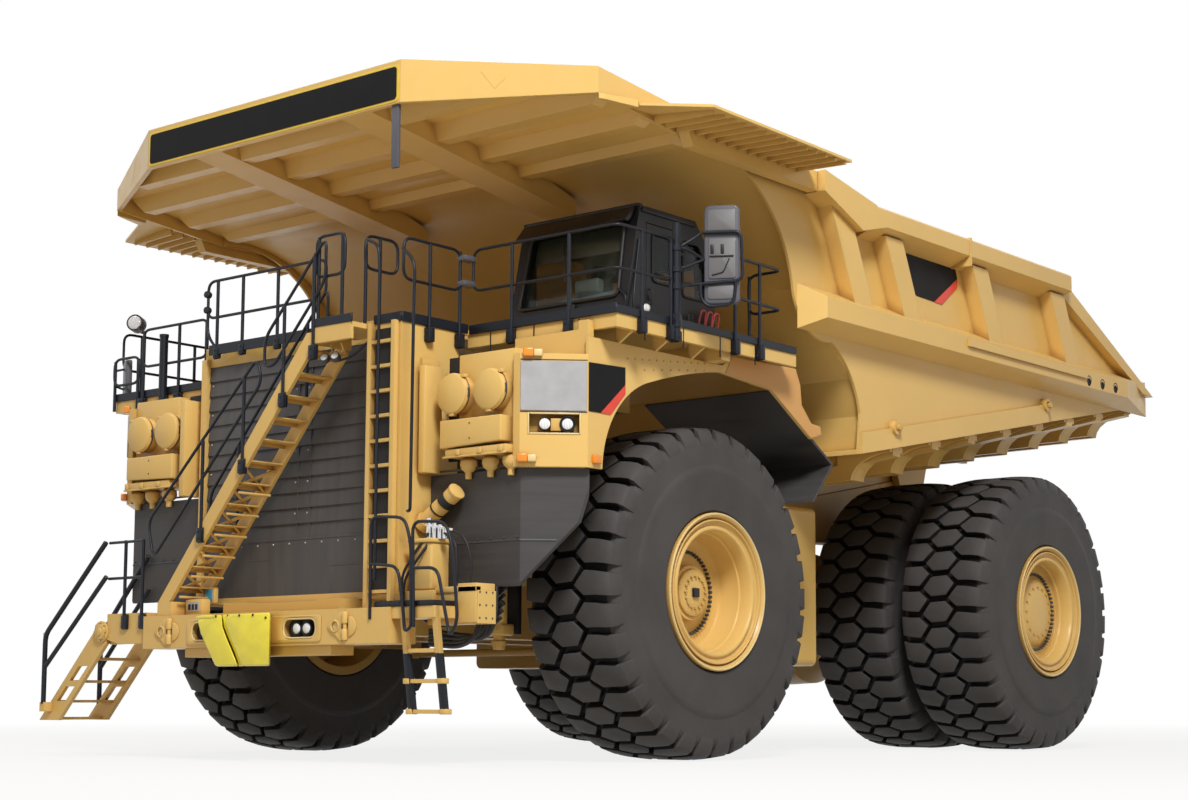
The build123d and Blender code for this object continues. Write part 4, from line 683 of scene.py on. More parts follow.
def shoulder_lug(side):
    """One lug from beside the middle row, over the shoulder and down the sidewall."""
    points, faces = [], []
    for x, low, high, reach in SHOULDER:
        for y in (low, high):
            points.append((side * x, side * y, reach))
            points.append((side * (x - 0.02), side * y, reach - LUG_DEPTH))
    end = 4 * (len(SHOULDER) - 1)
    for a in range(0, end, 4):
        b = a + 4
        faces += [(a, b, b + 2, a + 2), (a, a + 1, b + 1, b), (a + 2, b + 2, b + 3, a + 3)]
    faces += [(0, 2, 3, 1), (end, end + 1, end + 3, end + 2)]
    sketch(points, faces=faces)
    return bevelled(edit_all(normals_make_consistent=OUTWARDS), LUG_BEVEL)


def wheel_turn(i, count):
    """The i-th of so many equal turns about the axle."""
    return Matrix.Rotation(i * 2 * pi / count, 4, "X")


def make_tyre():
    """A tyre round the origin's X axis: carcass, blocks and lugs."""
    pattern = wrapped(joined([tread_block(), shoulder_lug(1), shoulder_lug(-1)]))
    turns = [pattern] + [twin_of(pattern, wheel_turn(i, LUGS)) for i in range(1, LUGS)]
    profile = CARCASS + [(-x, r) for x, r in reversed(CARCASS[:-1])]
    tyre = joined([turned(profile, steps=96)] + turns)
    tyre.select_set(True)
    bpy.ops.object.shade_smooth_by_angle(angle=radians(38))
    return tyre


def place_tyres():
    """The one tyre, copied to each wheel; right-hand wheels roll the same pattern."""
    tyre = make_tyre()
    for end, plural, places, y in (("front", "", [FRONT_TYRE_X], FRONT_AXLE_Y),
                                   ("rear", "s", REAR_TYRES_X, REAR_AXLE_Y)):
        for hand, side in (("left", 1), ("right", -1)):
            for i, x in enumerate(side * x for x in places):
                roll = 0.07 + 0.05 * i if end == "rear" else 0.0
                place = Matrix.Translation((x, y, AXLE_Z)) @ Matrix.Rotation(roll, 4, "X")
                piece = put(f"{end}_{hand}_treaded_tyre_{i + 1}", "tyre", twin_of(tyre, place),
                            f"{end}_{hand}_wheel{plural}")
                # The ground between the middle blocks gets the darker rubber: painted shade in the grooves.
                piece.data.materials.append(FINISHES["groove_shade"])
                for face in piece.data.polygons:
                    out = Vector((0, face.center.y - y, face.center.z - AXLE_Z)).length
                    if GROOVE_REACH[0] < out < GROOVE_REACH[1] and abs(face.center.x - x) < GROOVE_HALF:
                        face.material_index = 1
                if i == 0:
                    node = f"{end}_{hand}_tyre{plural}"
                    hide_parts(node)
    bpy.data.objects.remove(tyre)


# ---- rims -----------------------------------------------------------------------------------
def bolt_ring(x, y, radius, count, size, length, side):
    """Nuts on a circle, on a face whose outside is towards +X or -X."""
    nut = hexagon(size, length, 0.22, (x + side * length / 2, y, AXLE_Z + radius), (0, pi / 2, 0))
    middle = Matrix.Translation((x, y, AXLE_Z))
    return joined([nut] + [twin_of(nut, middle @ wheel_turn(i, count) @ middle.inverted())
                           for i in range(1, count)])


# Places as (x from the rim's outer face, radius).
RIM_LIPS = [(-0.045, 0.868), (-0.002, 0.862), (0.0, 0.846), (-0.042, 0.834), (-0.052, 0.8),
            (-0.024, 0.77), (-0.026, 0.744), (-0.06, 0.72), (-0.2, 0.714), (-0.212, 0.7)]
FRONT_DISH = [(-0.46, 0.692), (-0.5, 0.67), (-0.52, 0.6), (-0.52, 0.31), (-0.5, 0.295),
              (-0.37, 0.28), (-0.35, 0.24), (-0.35, 0.002), (-0.402, 0.002), (-0.402, 0.332),
              (-1.07, 0.332), (-1.07, 0.54), (-0.66, 0.56), (-0.7, 0.78), (-1.07, 0.8),
              (-1.395, 0.83), (-1.395, 0.944), (-1.355, 0.944), (-1.34, 0.9195), (-0.06, 0.9195),
              (-0.045, 0.944), (0.01, 0.944), (0.01, 0.905), (-0.045, 0.868)]
REAR_COVER = [(-0.272, 0.694), (-0.276, 0.52), (-0.262, 0.49), (-0.235, 0.465), (-0.205, 0.4),
              (-0.185, 0.22), (-0.18, 0.002), (-0.3, 0.002), (-0.3, 0.74), (-0.045, 0.868)]
LOCK_RING = [(-0.02, 0.905), (0.018, 0.915), (0.022, 0.935), (-0.01, 0.944), (-0.02, 0.905)]


def rim_fittings(name, body, side, outer, y, shape, nuts, hub_bolts):
    """Lips, lock ring, wheel nuts and hub bolts of the rim with its outer face at x = outer."""
    made = []
    for label, finish, profile, round_off, segments in (
            ("rim_lips", "yellow", RIM_LIPS + shape, 0.005, 2),
            ("lock_ring", "pale", LOCK_RING, 0.004, 1)):
        ring = turned([(side * (outer + x), r) for x, r in profile], (0, y, AXLE_Z), 96)
        piece = put(f"{name}_{label}", finish, ring, body)
        made.append(softened(piece, round_off, segments))
    for label, finish, (depth, radius), count, size, length in (
            ("wheel_nuts", "bolt", nuts, 54, 0.021, 0.045),
            ("hub_bolts", "shaded_yellow", hub_bolts, 16, 0.016, 0.03)):
        ring = bolt_ring(side * (outer - depth), y, radius, count, size, length, side)
        put(f"{name}_{label}", finish, ring, body)
    return made[0]


def place_rim_fittings():
    """Front rims whole, rear rims with their covers, and a plug on each front hub."""
    for side, hand in ((1, "left"), (-1, "right")):
        rim = rim_fittings(f"front_{hand}", f"front_{hand}_wheel", side, FRONT_RIM_X, FRONT_AXLE_Y,
                           FRONT_DISH, (0.519, 0.5), (0.349, 0.195))
        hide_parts(f"front_{hand}_rim")
        rim_fittings(f"rear_{hand}", f"rear_{hand}_wheels", side, REAR_RIM_X, REAR_AXLE_Y,
                     REAR_COVER, (0.275, 0.55), (0.205, 0.36))
        near, far = sorted((side * HUB_X, side * (HUB_X + 0.035)))
        plug = block((near, FRONT_AXLE_Y - 0.055, AXLE_Z - 0.055),
                     (far, FRONT_AXLE_Y + 0.055, AXLE_Z + 0.055))
        softened(put(f"front_{hand}_hub_plug", "dark", plug, f"front_{hand}_wheel"), 0.008)


# ---- handrails ------------------------------------------------------------------------------
RAIL = 0.0185   # radii of the tubes
POST = 0.0215


def rails(name, loops=(), runs=(), posts=(), corner=0.13):
    """Round-tube handrail as one piece: closed loops, open runs and upright posts."""
    tubes = [bent_tube(loop, RAIL, corner, closed=True) for loop in loops]
    tubes += [bent_tube(run, RAIL, corner) for run in runs]
    tubes += [round_bar((x, y, low), (x, y, high), POST, 12) for x, y, low, high in posts]
    return put(name, "rail", tubes)


def clamps(name, places, size=(0.1, 0.1, 0.17)):
    """Split clamps round the feet of posts, each with a slit and two bolts across it."""
    x, y, z = (value / 2 for value in size)
    made = []
    for px, py, pz in places:
        made.append(eased((px - x, py - y, pz - z), (px + x, py + y, pz + z), 0.014))
        made.append(block((px - x - 0.004, py - 0.004, pz - z - 0.006),
                          (px + x + 0.004, py + 0.004, pz + z + 0.006)))
        made.append(bolts([(px - x * 0.1, py - y, pz + z * share) for share in (-0.5, 0.5)], (0, -1, 0)))
    return put(name, "rail", made)


def loop(a, b, low, high):
    """Corner points of an upright loop between two plan points."""
    return [(*a, high), (*b, high), (*b, low), (*a, low)]


def deck_rails():
    """Handrails of the decks, the hood and the ladder's head."""
    left_x, right_x, hood_y, right_y = 4.36, -4.358, -6.71, -6.25
    left = loop((2.15, -5.97), (left_x, -5.97), 5.48, 5.97)
    left[2:2] = [(left_x, -5.0, 5.97), (left_x, -5.0, 5.48)]
    back = [(left_x, -3.8, 5.97), (left_x, -2.82, 5.97), (3.85, -2.82, 5.97), (3.85, -2.82, 5.48),
            (left_x, -2.82, 5.48), (left_x, -3.8, 5.48)]
    posts = [(x, -5.97, 4.8, 5.96) for x in (2.77, 3.645)]
    posts += [(left_x, y, 4.8, 5.96) for y in (-5.54, -5.02, -3.79, -3.29)]
    posts += [(2.08, y, 4.8, 5.94) for y in (-6.61, -6.12)]
    feet = [(x, y, 4.88) for x, y, low, high in posts]
    posts += [(3.86, -2.82, 4.98, 5.96), (1.5, -6.85, 5.0, 6.04), (1.5, -7.07, 5.0, 5.95)]
    side = loop((2.08, -7.03), (2.08, -6.12), 5.47, 5.95)
    head = loop((1.5, -7.08), (1.5, -6.57), 5.66, 6.05)
    piece = rails("left_deck_rails", [left, back, side, head], posts=posts)
    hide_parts("deck_handrails")
    clamps("left_deck_rail_clamps", feet)
    put("rail_links", "mirror_grey",
        [eased((2.05, -6.145, z - 0.035), (2.185, -5.95, z + 0.035), 0.02) for z in (5.56, 5.86)])
    side_y = (-5.8, -4.9, -4.1, -3.2)
    front = ((-2.95, 5.64), (-3.7, 5.64), (-2.39, 5.6), (-4.32, 5.28), (-3.82, 5.28))
    loops = [loop((-2.37, right_y), (-3.72, right_y), 5.15, 5.65),
             loop((-3.8, right_y), (-4.34, right_y), 4.95, 5.31),
             loop((right_x, -6.1), (right_x, -4.6), 5.2, 5.7),
             loop((right_x, -4.5), (right_x, -2.84), 5.2, 5.7)]
    end = at_y(-2.82, [(right_x, 5.78), (-3.9, 5.78), (-3.9, 5.28)])
    posts = [(x, right_y, 4.6, top) for x, top in front] + [(right_x, y, 4.6, 5.69) for y in side_y]
    rails("right_deck_rails", loops, [end], posts)
    put("right_deck_stout_post", "rail", [round_bar((-3.25, -6.27, 4.6), (-3.25, -6.27, 5.52), 0.055),
        round_bar((-3.25, -6.27, 5.5), (-3.25, -6.27, 5.54), 0.062)])
    clamps("right_deck_rail_clamps", [(x, right_y, 4.66) for x in (-2.95, -3.25, -3.7)]
           + [(right_x, y, 4.66) for y in side_y], (0.11, 0.1, 0.13))
    hood_x = (-1.6, -1.11, 0.2, -0.45)
    rails("hood_rail", [loop((-1.79, hood_y), (0.42, hood_y), 5.51, 5.98)],
          [at_y(hood_y, [(-1.6, 5.1), (-1.79, 5.3), (-1.79, 5.75)])],
          [(x, hood_y, 4.98, 5.97) for x in hood_x])
    clamps("hood_rail_clamps", [(x, -6.705, 5.05) for x in hood_x], (0.09, 0.07, 0.14))
    rails("platform_rail", [loop((0.92, -7.3), (1.4, -7.3), 5.58, 6.06)],
          posts=[(x, -7.3, 4.9, 6.05) for x in (0.96, 1.36)])


def kick_strips():
    """Black toe boards that stand on the edges of the decks, and the seams below them."""
    edges = [
        ((-1.74, -6.725, 5.03), (0.2, -6.7, 5.16)), ((2.09, -5.975, 4.975), (4.345, -5.95, 5.085)),
        ((4.33, -5.97, 4.975), (4.352, -2.5, 5.065)), ((2.05, -7.02, 4.985), (2.072, -5.96, 5.1)),
        ((1.6, -7.03, 4.99), (2.05, -7.005, 5.1)), ((-4.335, -6.235, 4.735), (-1.96, -6.212, 4.84)),
        ((-4.352, -6.22, 4.735), (-4.33, -2.5, 4.84)), ((0.9, -7.345, 4.99), (1.58, -7.325, 5.09))]
    put("toe_boards", "rail", [eased(low, high, 0.005, 1) for low, high in edges])
    seams = [((x - 0.006, -5.952, 4.735), (x + 0.006, -5.94, 4.97)) for x in (2.42, 3.1, 3.78)]
    for y in (-5.45, -4.75, -4.05, -3.35):
        seams += [((4.325, y - 0.006, 4.73), (4.336, y + 0.006, 4.97)),
                  ((-4.336, y - 0.006, 4.59), (-4.325, y + 0.006, 4.73))]
    put("deck_band_seams", "rail", [block(low, high) for low, high in seams])


def stair_rails():
    """Sloping rails of the stairway, the landing's rails and the ladder's hand tubes."""
    near_y, far_y, landing_y, ladder_y, hand_y = -7.34, -6.79, -7.345, -7.16, -7.37
    near = at_y(near_y, [(1.12, 6.03), (0.08, 4.96), (0.08, 4.62), (0.25, 4.62), (1.12, 5.53)])
    low = at_y(near_y, [(-0.05, 4.74), (-2.05, 2.9), (-1.93, 2.44), (0.04, 4.45)])
    far = at_y(far_y, [(0.55, 5.6), (-1.55, 3.25), (-1.55, 2.8), (0.55, 5.12)])
    legs = [(0.93, near_y, 4.66, 5.83), (0.42, near_y, 4.16, 5.31), (-0.28, near_y, 3.4, 4.52),
            (-1.02, near_y, 2.62, 3.83), (-1.02, far_y, 2.7, 3.83), (0.2, far_y, 4.1, 5.2)]
    piece = rails("stair_rails", [near, low, far], posts=legs)
    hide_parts("stairway_handrails")
    clamps("stair_rail_clamps",
           at_y(near_y, [(0.93, 4.7), (0.42, 4.19), (-0.28, 3.46), (-1.02, 2.68)]), (0.1, 0.08, 0.17))
    rails("landing_rails", runs=[at_y(landing_y, [(-2.8, z), (-2.12, z)]) for z in (2.67, 2.22)],
          posts=[(x, landing_y, 1.62, 2.69) for x in (-2.47, -2.12)])
    clamps("landing_rail_clamps", [(x, -7.328, 1.67) for x in (-2.47, -2.12)], (0.11, 0.06, 0.17))
    runs = [at_y(ladder_y, [(1.62, 5.96), (1.8, 5.88), (1.83, 5.6), (1.83, 2.05)]),
            at_y(ladder_y, [(2.2, 5.78), (2.4, 5.6), (2.39, 5.2), (2.38, 2.8)]) + [(2.3, -7.12, 2.8)],
            at_y(hand_y, [(1.99, 1.6), (1.98, 2.74), (2.52, 2.7), (2.62, 2.4), (2.64, 1.5),
                          (2.54, 1.45), (2.51, 1.72), (2.42, 2.17), (1.99, 2.21)]),
            at_y(hand_y, [(2.68, 1.5), (2.64, 2.65), (3.15, 2.62), (3.26, 2.3), (3.34, 1.55),
                          (3.23, 1.38), (3.15, 1.67), (3.03, 2.13), (2.67, 2.14)])]
    rails("ladder_hand_tubes", runs=runs)


# ---- headlight boxes, badges and lamps ------------------------------------------------------
# Frames to model in: x along the face, y into it, z up (or up the slope).
FACE = Matrix(((0.7203, -0.6937, 0, 3.5), (0.6937, 0.7203, 0, -6.605), (0, 0, 1, 0), (0, 0, 0, 1)))
SCREEN = Matrix(((1, 0, 0, 0), (0, 0.9803, 0.1976, -5.035), (0, -0.1976, 0.9803, 5.23),
                 (0, 0, 0, 1)))


def lamp_housing(radius, depth):
    """Lamp housing facing -Y at the origin: a drum with a lip and a sunken face."""
    drum = round_bar((0, depth, 0), (0, 0, 0), radius, 32)
    for face in drum.data.polygons:
        face.select = face.normal.y < -0.9
    bpy.ops.object.mode_set(mode="EDIT")
    bpy.ops.mesh.select_mode(type="FACE")
    bpy.ops.mesh.inset(thickness=radius * 0.14, depth=-radius * 0.22)
    bpy.ops.object.mode_set(mode="OBJECT")
    return bevelled(drum, radius * 0.06)


def lamp_glass(radius):
    """Domed glass of a lamp facing -Y at the origin."""
    begin()
    bpy.ops.mesh.primitive_uv_sphere_add(segments=32, ring_count=16, radius=radius,
                                         location=(0, radius * 0.12, 0), scale=(1, 0.35, 1))
    return baked()


def lamps(name, places, radius, body="chassis", shell="hose", glass="lens", share=0.84):
    """Round lamps at places given as matrices that carry a lamp facing -Y."""
    put(name + "_housings", shell, [moved(lamp_housing(radius, radius * 1.3), place) for place in places],
        body)
    glasses = [moved(lamp_glass(radius * share), place) for place in places]
    return put(name + "_glass", glass, glasses, body)


def facing(x, y, z, turn=0.0, tilt=0.0):
    """Carries a lamp facing -Y to a place, turned about Z and tipped up or down."""
    return (Matrix.Translation((x, y, z)) @ Matrix.Rotation(radians(turn), 4, "Z")
            @ Matrix.Rotation(radians(tilt), 4, "X"))


def mirrored(matrix):
    """The same place on the other side of the truck."""
    flip = Matrix.Scale(-1, 4, (1, 0, 0))
    return flip @ matrix @ flip


def on_face(*boxes):
    """Eased boxes carried on to the headlight box's slanted face."""
    return [moved(eased(*box), FACE) for box in boxes]


def side_plate(name, finish, x, thick, outline, body="chassis"):
    """A thin plate of (y, z) points laid on both outer sides."""
    put(name, finish, drawn(at_x(x, outline), (thick, 0, 0)), body, both=True)


def headlight_boxes():
    """Blank plates, lamp slots and amber lamps of both headlight boxes."""
    plate = bevelled(rounded_plate((0.005, 3.88), (0.735, 4.435), -0.016, 0.014, 0.012), 0.003, 1)
    put("face_plates", "plate_grey", moved(plate, FACE), both=True)
    put("slot_rims", "pale", on_face(((0.105, -0.01, 3.842), (0.655, 0.02, 3.862)),
                                     ((0.105, -0.01, 3.618), (0.655, 0.02, 3.638)),
                                     ((0.085, -0.01, 3.618), (0.105, 0.02, 3.862)),
                                     ((0.655, -0.01, 3.618), (0.675, 0.02, 3.862))), both=True)
    put("slot_backs", "shaded_yellow", on_face(((0.09, 0.13, 3.62), (0.67, 0.15, 3.86)),
                                         ((0.34, 0.02, 3.66), (0.46, 0.13, 3.8))), both=True)
    places = [FACE @ facing(u, 0.0, 3.735) for u in (0.275, 0.525)]
    lamps("face_lamps", places + [mirrored(place) for place in places], 0.088, share=0.7)
    put("face_seams", "bolt", on_face(((0.0, -0.004, 3.862), (0.745, 0.01, 3.872), 0.002),
                                      ((0.0, -0.004, 4.445), (0.745, 0.01, 4.455), 0.002)), both=True)
    amber = on_face(((0.03, -0.075, 4.475), (0.145, 0.0, 4.57), 0.014, 3),
                    ((-0.03, -0.075, 3.305), (0.085, 0.0, 3.4), 0.014, 3))
    amber.append(eased((4.035, -6.02, 3.31), (4.085, -5.89, 3.405), 0.014, 3))
    put("amber_lamps", "amber", amber, both=True)
    mounts = on_face(((0.145, -0.06, 4.48), (0.245, 0.0, 4.56), 0.014),
                     ((0.085, -0.06, 3.31), (0.185, 0.0, 3.39), 0.014))
    put("amber_lamp_mounts", "pale", mounts, both=True)
    side_plate("fender_badges", "sign_black", FENDER_X, 0.007,
               [(-6.075, 4.43), (-5.45, 4.45), (-5.45, 4.255), (-5.88, 3.885), (-6.075, 3.885)])
    side_plate("fender_badge_stripes", "red", FENDER_X, 0.008,
               [(-5.45, 4.252), (-5.45, 4.15), (-5.705, 3.885), (-5.876, 3.885)])
    tan = [(0.05, 4.63), (1.0, 4.545), (1.87, 4.03), (2.11, 4.105), (2.07, 4.19), (1.87, 4.21),
           (1.66, 4.42), (1.63, 4.67), (1.53, 4.87), (0.19, 4.85)]
    side_plate("rear_fender_panels", "tan", FENDER_X, 0.004, [(FRONT_AXLE_Y + y, z) for y, z in tan])
    rows = [(4.04, -5.4 + 0.13 * i, 4.56 + 0.012 * i) for i in range(12)]
    rows += [(4.04, -5.1 + 0.16 * i, 4.47 + 0.02 * i) for i in range(8)]
    put("fender_bolts", "shaded_yellow", bolts(rows, (1, 0, 0), 0.011, 0.008), both=True)
    # A thin black plate in the step hole: painted shade of its inside.
    put("step_hole_shade", "hose", eased((3.62, -5.9, 4.52), (3.86, -5.72, 4.535), 0.004))


def body_badges():
    """Blank black badge with a red slanting edge on each side of the dump body, and the sign."""
    side_plate("body_badges", "sign_black", BODY_X, 0.008,
               [(0.21, 6.8), (1.5, 6.77), (1.56, 6.62), (0.92, 6.19), (0.48, 6.2), (0.21, 6.27)],
               "dump_body")
    side_plate("body_badge_stripes", "red", BODY_X, 0.009,
               [(1.56, 6.617), (1.56, 6.49), (1.13, 6.18), (0.925, 6.187)], "dump_body")
    for name, finish, x, low, high, y, radius in (
            ("canopy_sign_border", "sign_yellow", 2.27, 7.43, 7.862, -7.331, 0.05),
            ("canopy_sign", "sign_black", 2.235, 7.458, 7.836, -7.337, 0.04)):
        put(name, finish, rounded_plate((-x, low), (x, high), y, 0.01, radius), "dump_body")
    put("canopy_hanger", "mirror_grey", eased((2.13, -7.3, 6.68), (2.24, -7.26, 7.45), 0.006), "dump_body")
    # Each drain hole is a black disc with a raised lip: painted shade of the hole's inside.
    ring = [(4.592, 0.0), (4.598, 0.055), (4.603, 0.062), (4.603, 0.072), (4.59, 0.072)]
    holes = [turned(ring, (4.6, 4.955 + 0.45 * i, 5.575), 24) for i in range(3)]
    put("drain_hole_shade_discs", "sign_black", holes, "dump_body", both=True)
    pins = [round_bar((4.32, y, z), (4.42, y, z), 0.042, 16) for y, z in ((-0.19, 4.31), (4.065, 5.1))]
    put("lifting_pins", "shaded_yellow", pins, "dump_body", both=True)


def face_bolts():
    """Bolts, seams and the two middle strips of the radiator cover."""
    places = [(x, -6.588, z) for x in (-0.19, 0.03) for z in (3.33, 3.71, 4.09, 4.47)]
    places += [(x, -6.585, 2.95) for x in (-0.19, 0.03)]
    places += [(-1.79, -6.588, 2.78 + 0.376 * i) for i in range(6)]
    places += [(-1.7 + 0.29 * i, -6.612, 2.585) for i in range(12)]
    put("radiator_cover_bolts", "plate_grey", bolts(places, (0, -1, 0), 0.013, 0.014))
    seams = [eased((0.5, -6.619, 1.98), (0.51, -6.612, 2.3), 0.002, 1),
             eased((0.5, -6.619, 2.29), (1.59, -6.612, 2.3), 0.002, 1),
             eased((-1.85, -6.622, 2.625), (1.6, -6.6, 2.65), 0.004, 1),
             eased((-0.95, -6.619, 2.4), (-0.62, -6.612, 2.41), 0.002, 1)]
    put("radiator_guard_seams", "grille", seams)
    put("radiator_cover_strips", "grille",
        [eased((x, -6.604, 2.66), (x + 0.01, -6.57, 4.88), 0.002, 1) for x in (-0.14, 0.08)])
    pocket_x = (-BUMPER_LAMP_X, BUMPER_LAMP_X)
    for x in pocket_x:
        frame_loop = at_y(-7.366, [(x - 0.275, 1.415), (x + 0.275, 1.415),
                                   (x + 0.275, 1.635), (x - 0.275, 1.635)])
        ring = bent_tube(frame_loop, 0.012, 0.11, closed=True)
        back = rounded_plate((x - 0.26, 1.42), (x + 0.26, 1.63), -7.3, 0.02, 0.1)
        side = "left" if x > 0 else "right"
        put(f"{side}_bumper_pocket_ring", "pale", ring)
        put(f"{side}_bumper_pocket_back", "hose", back)
    piece = lamps("bumper_lamps", [facing(x + dx, -7.345, 1.525) for x in pocket_x
                                   for dx in (-0.085, 0.085)], 0.085, share=0.72)
    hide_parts("headlamps")
    pads = joined([rounded_plate((side * 0.765 - 0.43, 1.365), (side * 0.765 + 0.43, 1.675),
                                 -7.378, 0.014, 0.045) for side in (1, -1)])
    pockets = joined([rounded_plate((x - 0.285, 1.4), (x + 0.285, 1.65), -7.4, 0.06, 0.115)
                      for x in pocket_x])
    put("bumper_pads", "yellow", bevelled(without(pads, pockets), 0.005))


def tow_eyes():
    """Shield, pin and rounded cheek of each towing eye on the bumper's front face."""
    eyes = []
    for x in (1.595, -1.525):
        shield = [(x - 0.05, 1.7), (x - 0.085, 1.69), (x - 0.2, 1.6), (x - 0.265, 1.575),
                  (x - 0.285, 1.535), (x - 0.265, 1.495), (x - 0.2, 1.47), (x - 0.085, 1.375),
                  (x - 0.05, 1.365)]
        plate = drawn(at_y(-7.382, shield), (0, 0.02, 0))
        hole = round_bar((x - 0.16, -7.42, 1.535), (x - 0.16, -7.32, 1.535), 0.05, 24)
        eyes.append(bevelled(without(plate, hole), 0.005))
        cheek = [(x + 0.055 + 0.125 * cos(a), 1.53 + 0.115 * sin(a))
                 for a in (radians(-90 + 18 * i) for i in range(11))]
        eyes.append(bevelled(drawn(at_y(-7.38, cheek), (0, 0.018, 0)), 0.005))
        begin()
        bpy.ops.mesh.primitive_torus_add(location=(x - 0.16, -7.382, 1.535), rotation=(pi / 2, 0, 0),
                                         major_radius=0.062, minor_radius=0.012,
                                         major_segments=32, minor_segments=8)
        eyes.append(bpy.context.object)
        for low, high in ((1.375, 1.5), (1.56, 1.695)):
            eyes.append(softened(round_bar((x, -7.372, low), (x, -7.372, high), 0.042, 20), 0.012))
        eyes.append(round_bar((x, -7.372, 1.4), (x, -7.372, 1.67), 0.026, 16))
    put("tow_eyes", "yellow", eyes)
    put("tow_eye_backs", "pale",
        [round_bar((x - 0.16, -7.369, 1.535), (x - 0.16, -7.364, 1.535), 0.048, 20)
         for x in (1.595, -1.525)])


def chocks():
    """Two moulded wedge chocks hung side by side on the bumper, one lapping the other."""
    def tapered(points, front, back, width):
        shape = drawn(at_y(front, points), (0, back - front, 0))
        for vertex in shape.data.vertices:
            if vertex.co.y > back - 0.01:
                vertex.co.x -= 0.26
        return bevelled(shape, width, 3)

    outer = tapered([(-0.35, 1.102), (0.05, 1.102), (-0.05, 1.26), (-0.16, 1.42), (-0.245, 1.56),
                     (-0.265, 1.7), (-0.42, 1.695), (-0.7, 1.64), (-0.64, 1.5), (-0.53, 1.34)],
                    -7.605, -7.372, 0.022)
    band = tapered([(0.05, 1.102), (0.115, 1.102), (0.02, 1.25), (-0.09, 1.42), (-0.175, 1.56),
                    (-0.165, 1.7), (-0.28, 1.7), (-0.25, 1.56), (-0.16, 1.42), (-0.05, 1.26)],
                   -7.572, -7.374, 0.006)
    inner = tapered([(0.135, 1.102), (0.6, 1.102), (0.6, 1.704), (-0.06, 1.702), (-0.155, 1.675),
                     (-0.19, 1.615), (-0.16, 1.56), (-0.08, 1.42), (0.035, 1.25)],
                    -7.613, -7.37, 0.022)
    grips = [tapered([(x, 1.66), (x + 0.16, 1.66), (x + 0.2, 1.703), (x + 0.02, 1.703)],
                     -7.612, -7.55, 0.012) for x in (-0.56, -0.06)]
    piece = put("moulded_chocks", "chock", [outer, band, inner] + grips)
    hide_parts("wheel_chocks")
    heads = [(-0.36, -7.606, 1.682), (-0.18, -7.574, 1.685), (0.07, -7.614, 1.682),
             (0.31, -7.614, 1.682), (0.535, -7.614, 1.645)]
    put("chock_bolts", "hose", bolts(heads, (0, -1, 0), 0.017, 0.01))


def intake_boxes():
    """Air cleaners: two lidded drums on a back plate, a box and tray under them, dust bowls."""
    box = drawn(at_y(-6.742, [(2.4, 3.52), (3.34, 3.55), (3.34, 3.84), (2.4, 3.84)]), (0, 0.34, 0))
    yellow = [eased((2.52, -6.56, 3.44), (3.4, -6.16, 4.6), 0.014),
              eased((2.1, -6.78, 3.27), (2.2, -6.5, 4.5), 0.012), bevelled(box, 0.014, 3),
              eased((2.47, -6.72, 3.42), (3.4, -6.44, 3.512), 0.01),
              eased((2.44, -6.735, 3.408), (3.4, -6.7, 3.432), 0.006)]
    drum = [(0.0, 0.0), (0.0, 0.205), (0.012, 0.224), (0.03, 0.228), (0.036, 0.236), (0.06, 0.236),
            (0.066, 0.222), (0.3, 0.222), (0.3, 0.0)]
    band = [(0.066, 0.223), (0.066, 0.231), (0.082, 0.231), (0.082, 0.223)]
    bowl = [(0.0, 0.0), (0.0, 0.062), (0.03, 0.094), (0.08, 0.1), (0.125, 0.085), (0.155, 0.052),
            (0.165, 0.04), (0.235, 0.038), (0.24, 0.0)]
    rings = []
    for x in (2.56, 3.13):
        place = Matrix.Translation((x, -6.74, 4.14)) @ Matrix.Rotation(pi / 2, 4, "Z")
        yellow += [moved(turned(drum), place),
                   eased((x - 0.035, -6.725, 3.885), (x + 0.035, -6.66, 3.925), 0.006),
                   eased((x + 0.14, -6.72, 4.31), (x + 0.2, -6.66, 4.35), 0.006)]
        rings.append(moved(turned(band), place))
        rings += [round_bar((x + dx, -6.69, 4.19), (x + dx, -6.69, 4.09), 0.012, 8)
                  for dx in (-0.232, 0.232)]
    for x in (2.68, 3.02, 3.33):
        place = Matrix.Translation((x, -6.55, 3.415)) @ Matrix.Rotation(pi / 2, 4, "Y")
        yellow += [moved(turned(bowl, steps=32), place),
                   eased((x - 0.03, -6.745, 3.43), (x + 0.03, -6.715, 3.5), 0.008)]
    piece = put("lidded_air_cleaners", "yellow", yellow, both=True)
    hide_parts("air_cleaners")
    put("air_cleaner_clamps", "bolt", rings, both=True)
    dots = bolts([(2.87, -6.743, z) for z in (3.61, 3.78)], (0, -1, 0), 0.009, 0.008)
    put("air_cleaner_bolts", "bolt", dots, both=True)
    # Dark sheets in the gaps beside the air cleaners: painted shade.
    put("air_cleaner_gap_shade", "shade", eased((2.205, -6.4, 3.42), (2.5, -6.36, 4.62), 0.006), both=True)


def ladder_shade_sheet():
    """Dark sheet of the darker rubber behind the upright ladder's rungs: painted shade."""
    put("ladder_shade_sheet", "shade", eased((1.635, -7.026, 1.9), (1.985, -7.017, 4.93), 0.003, 1))


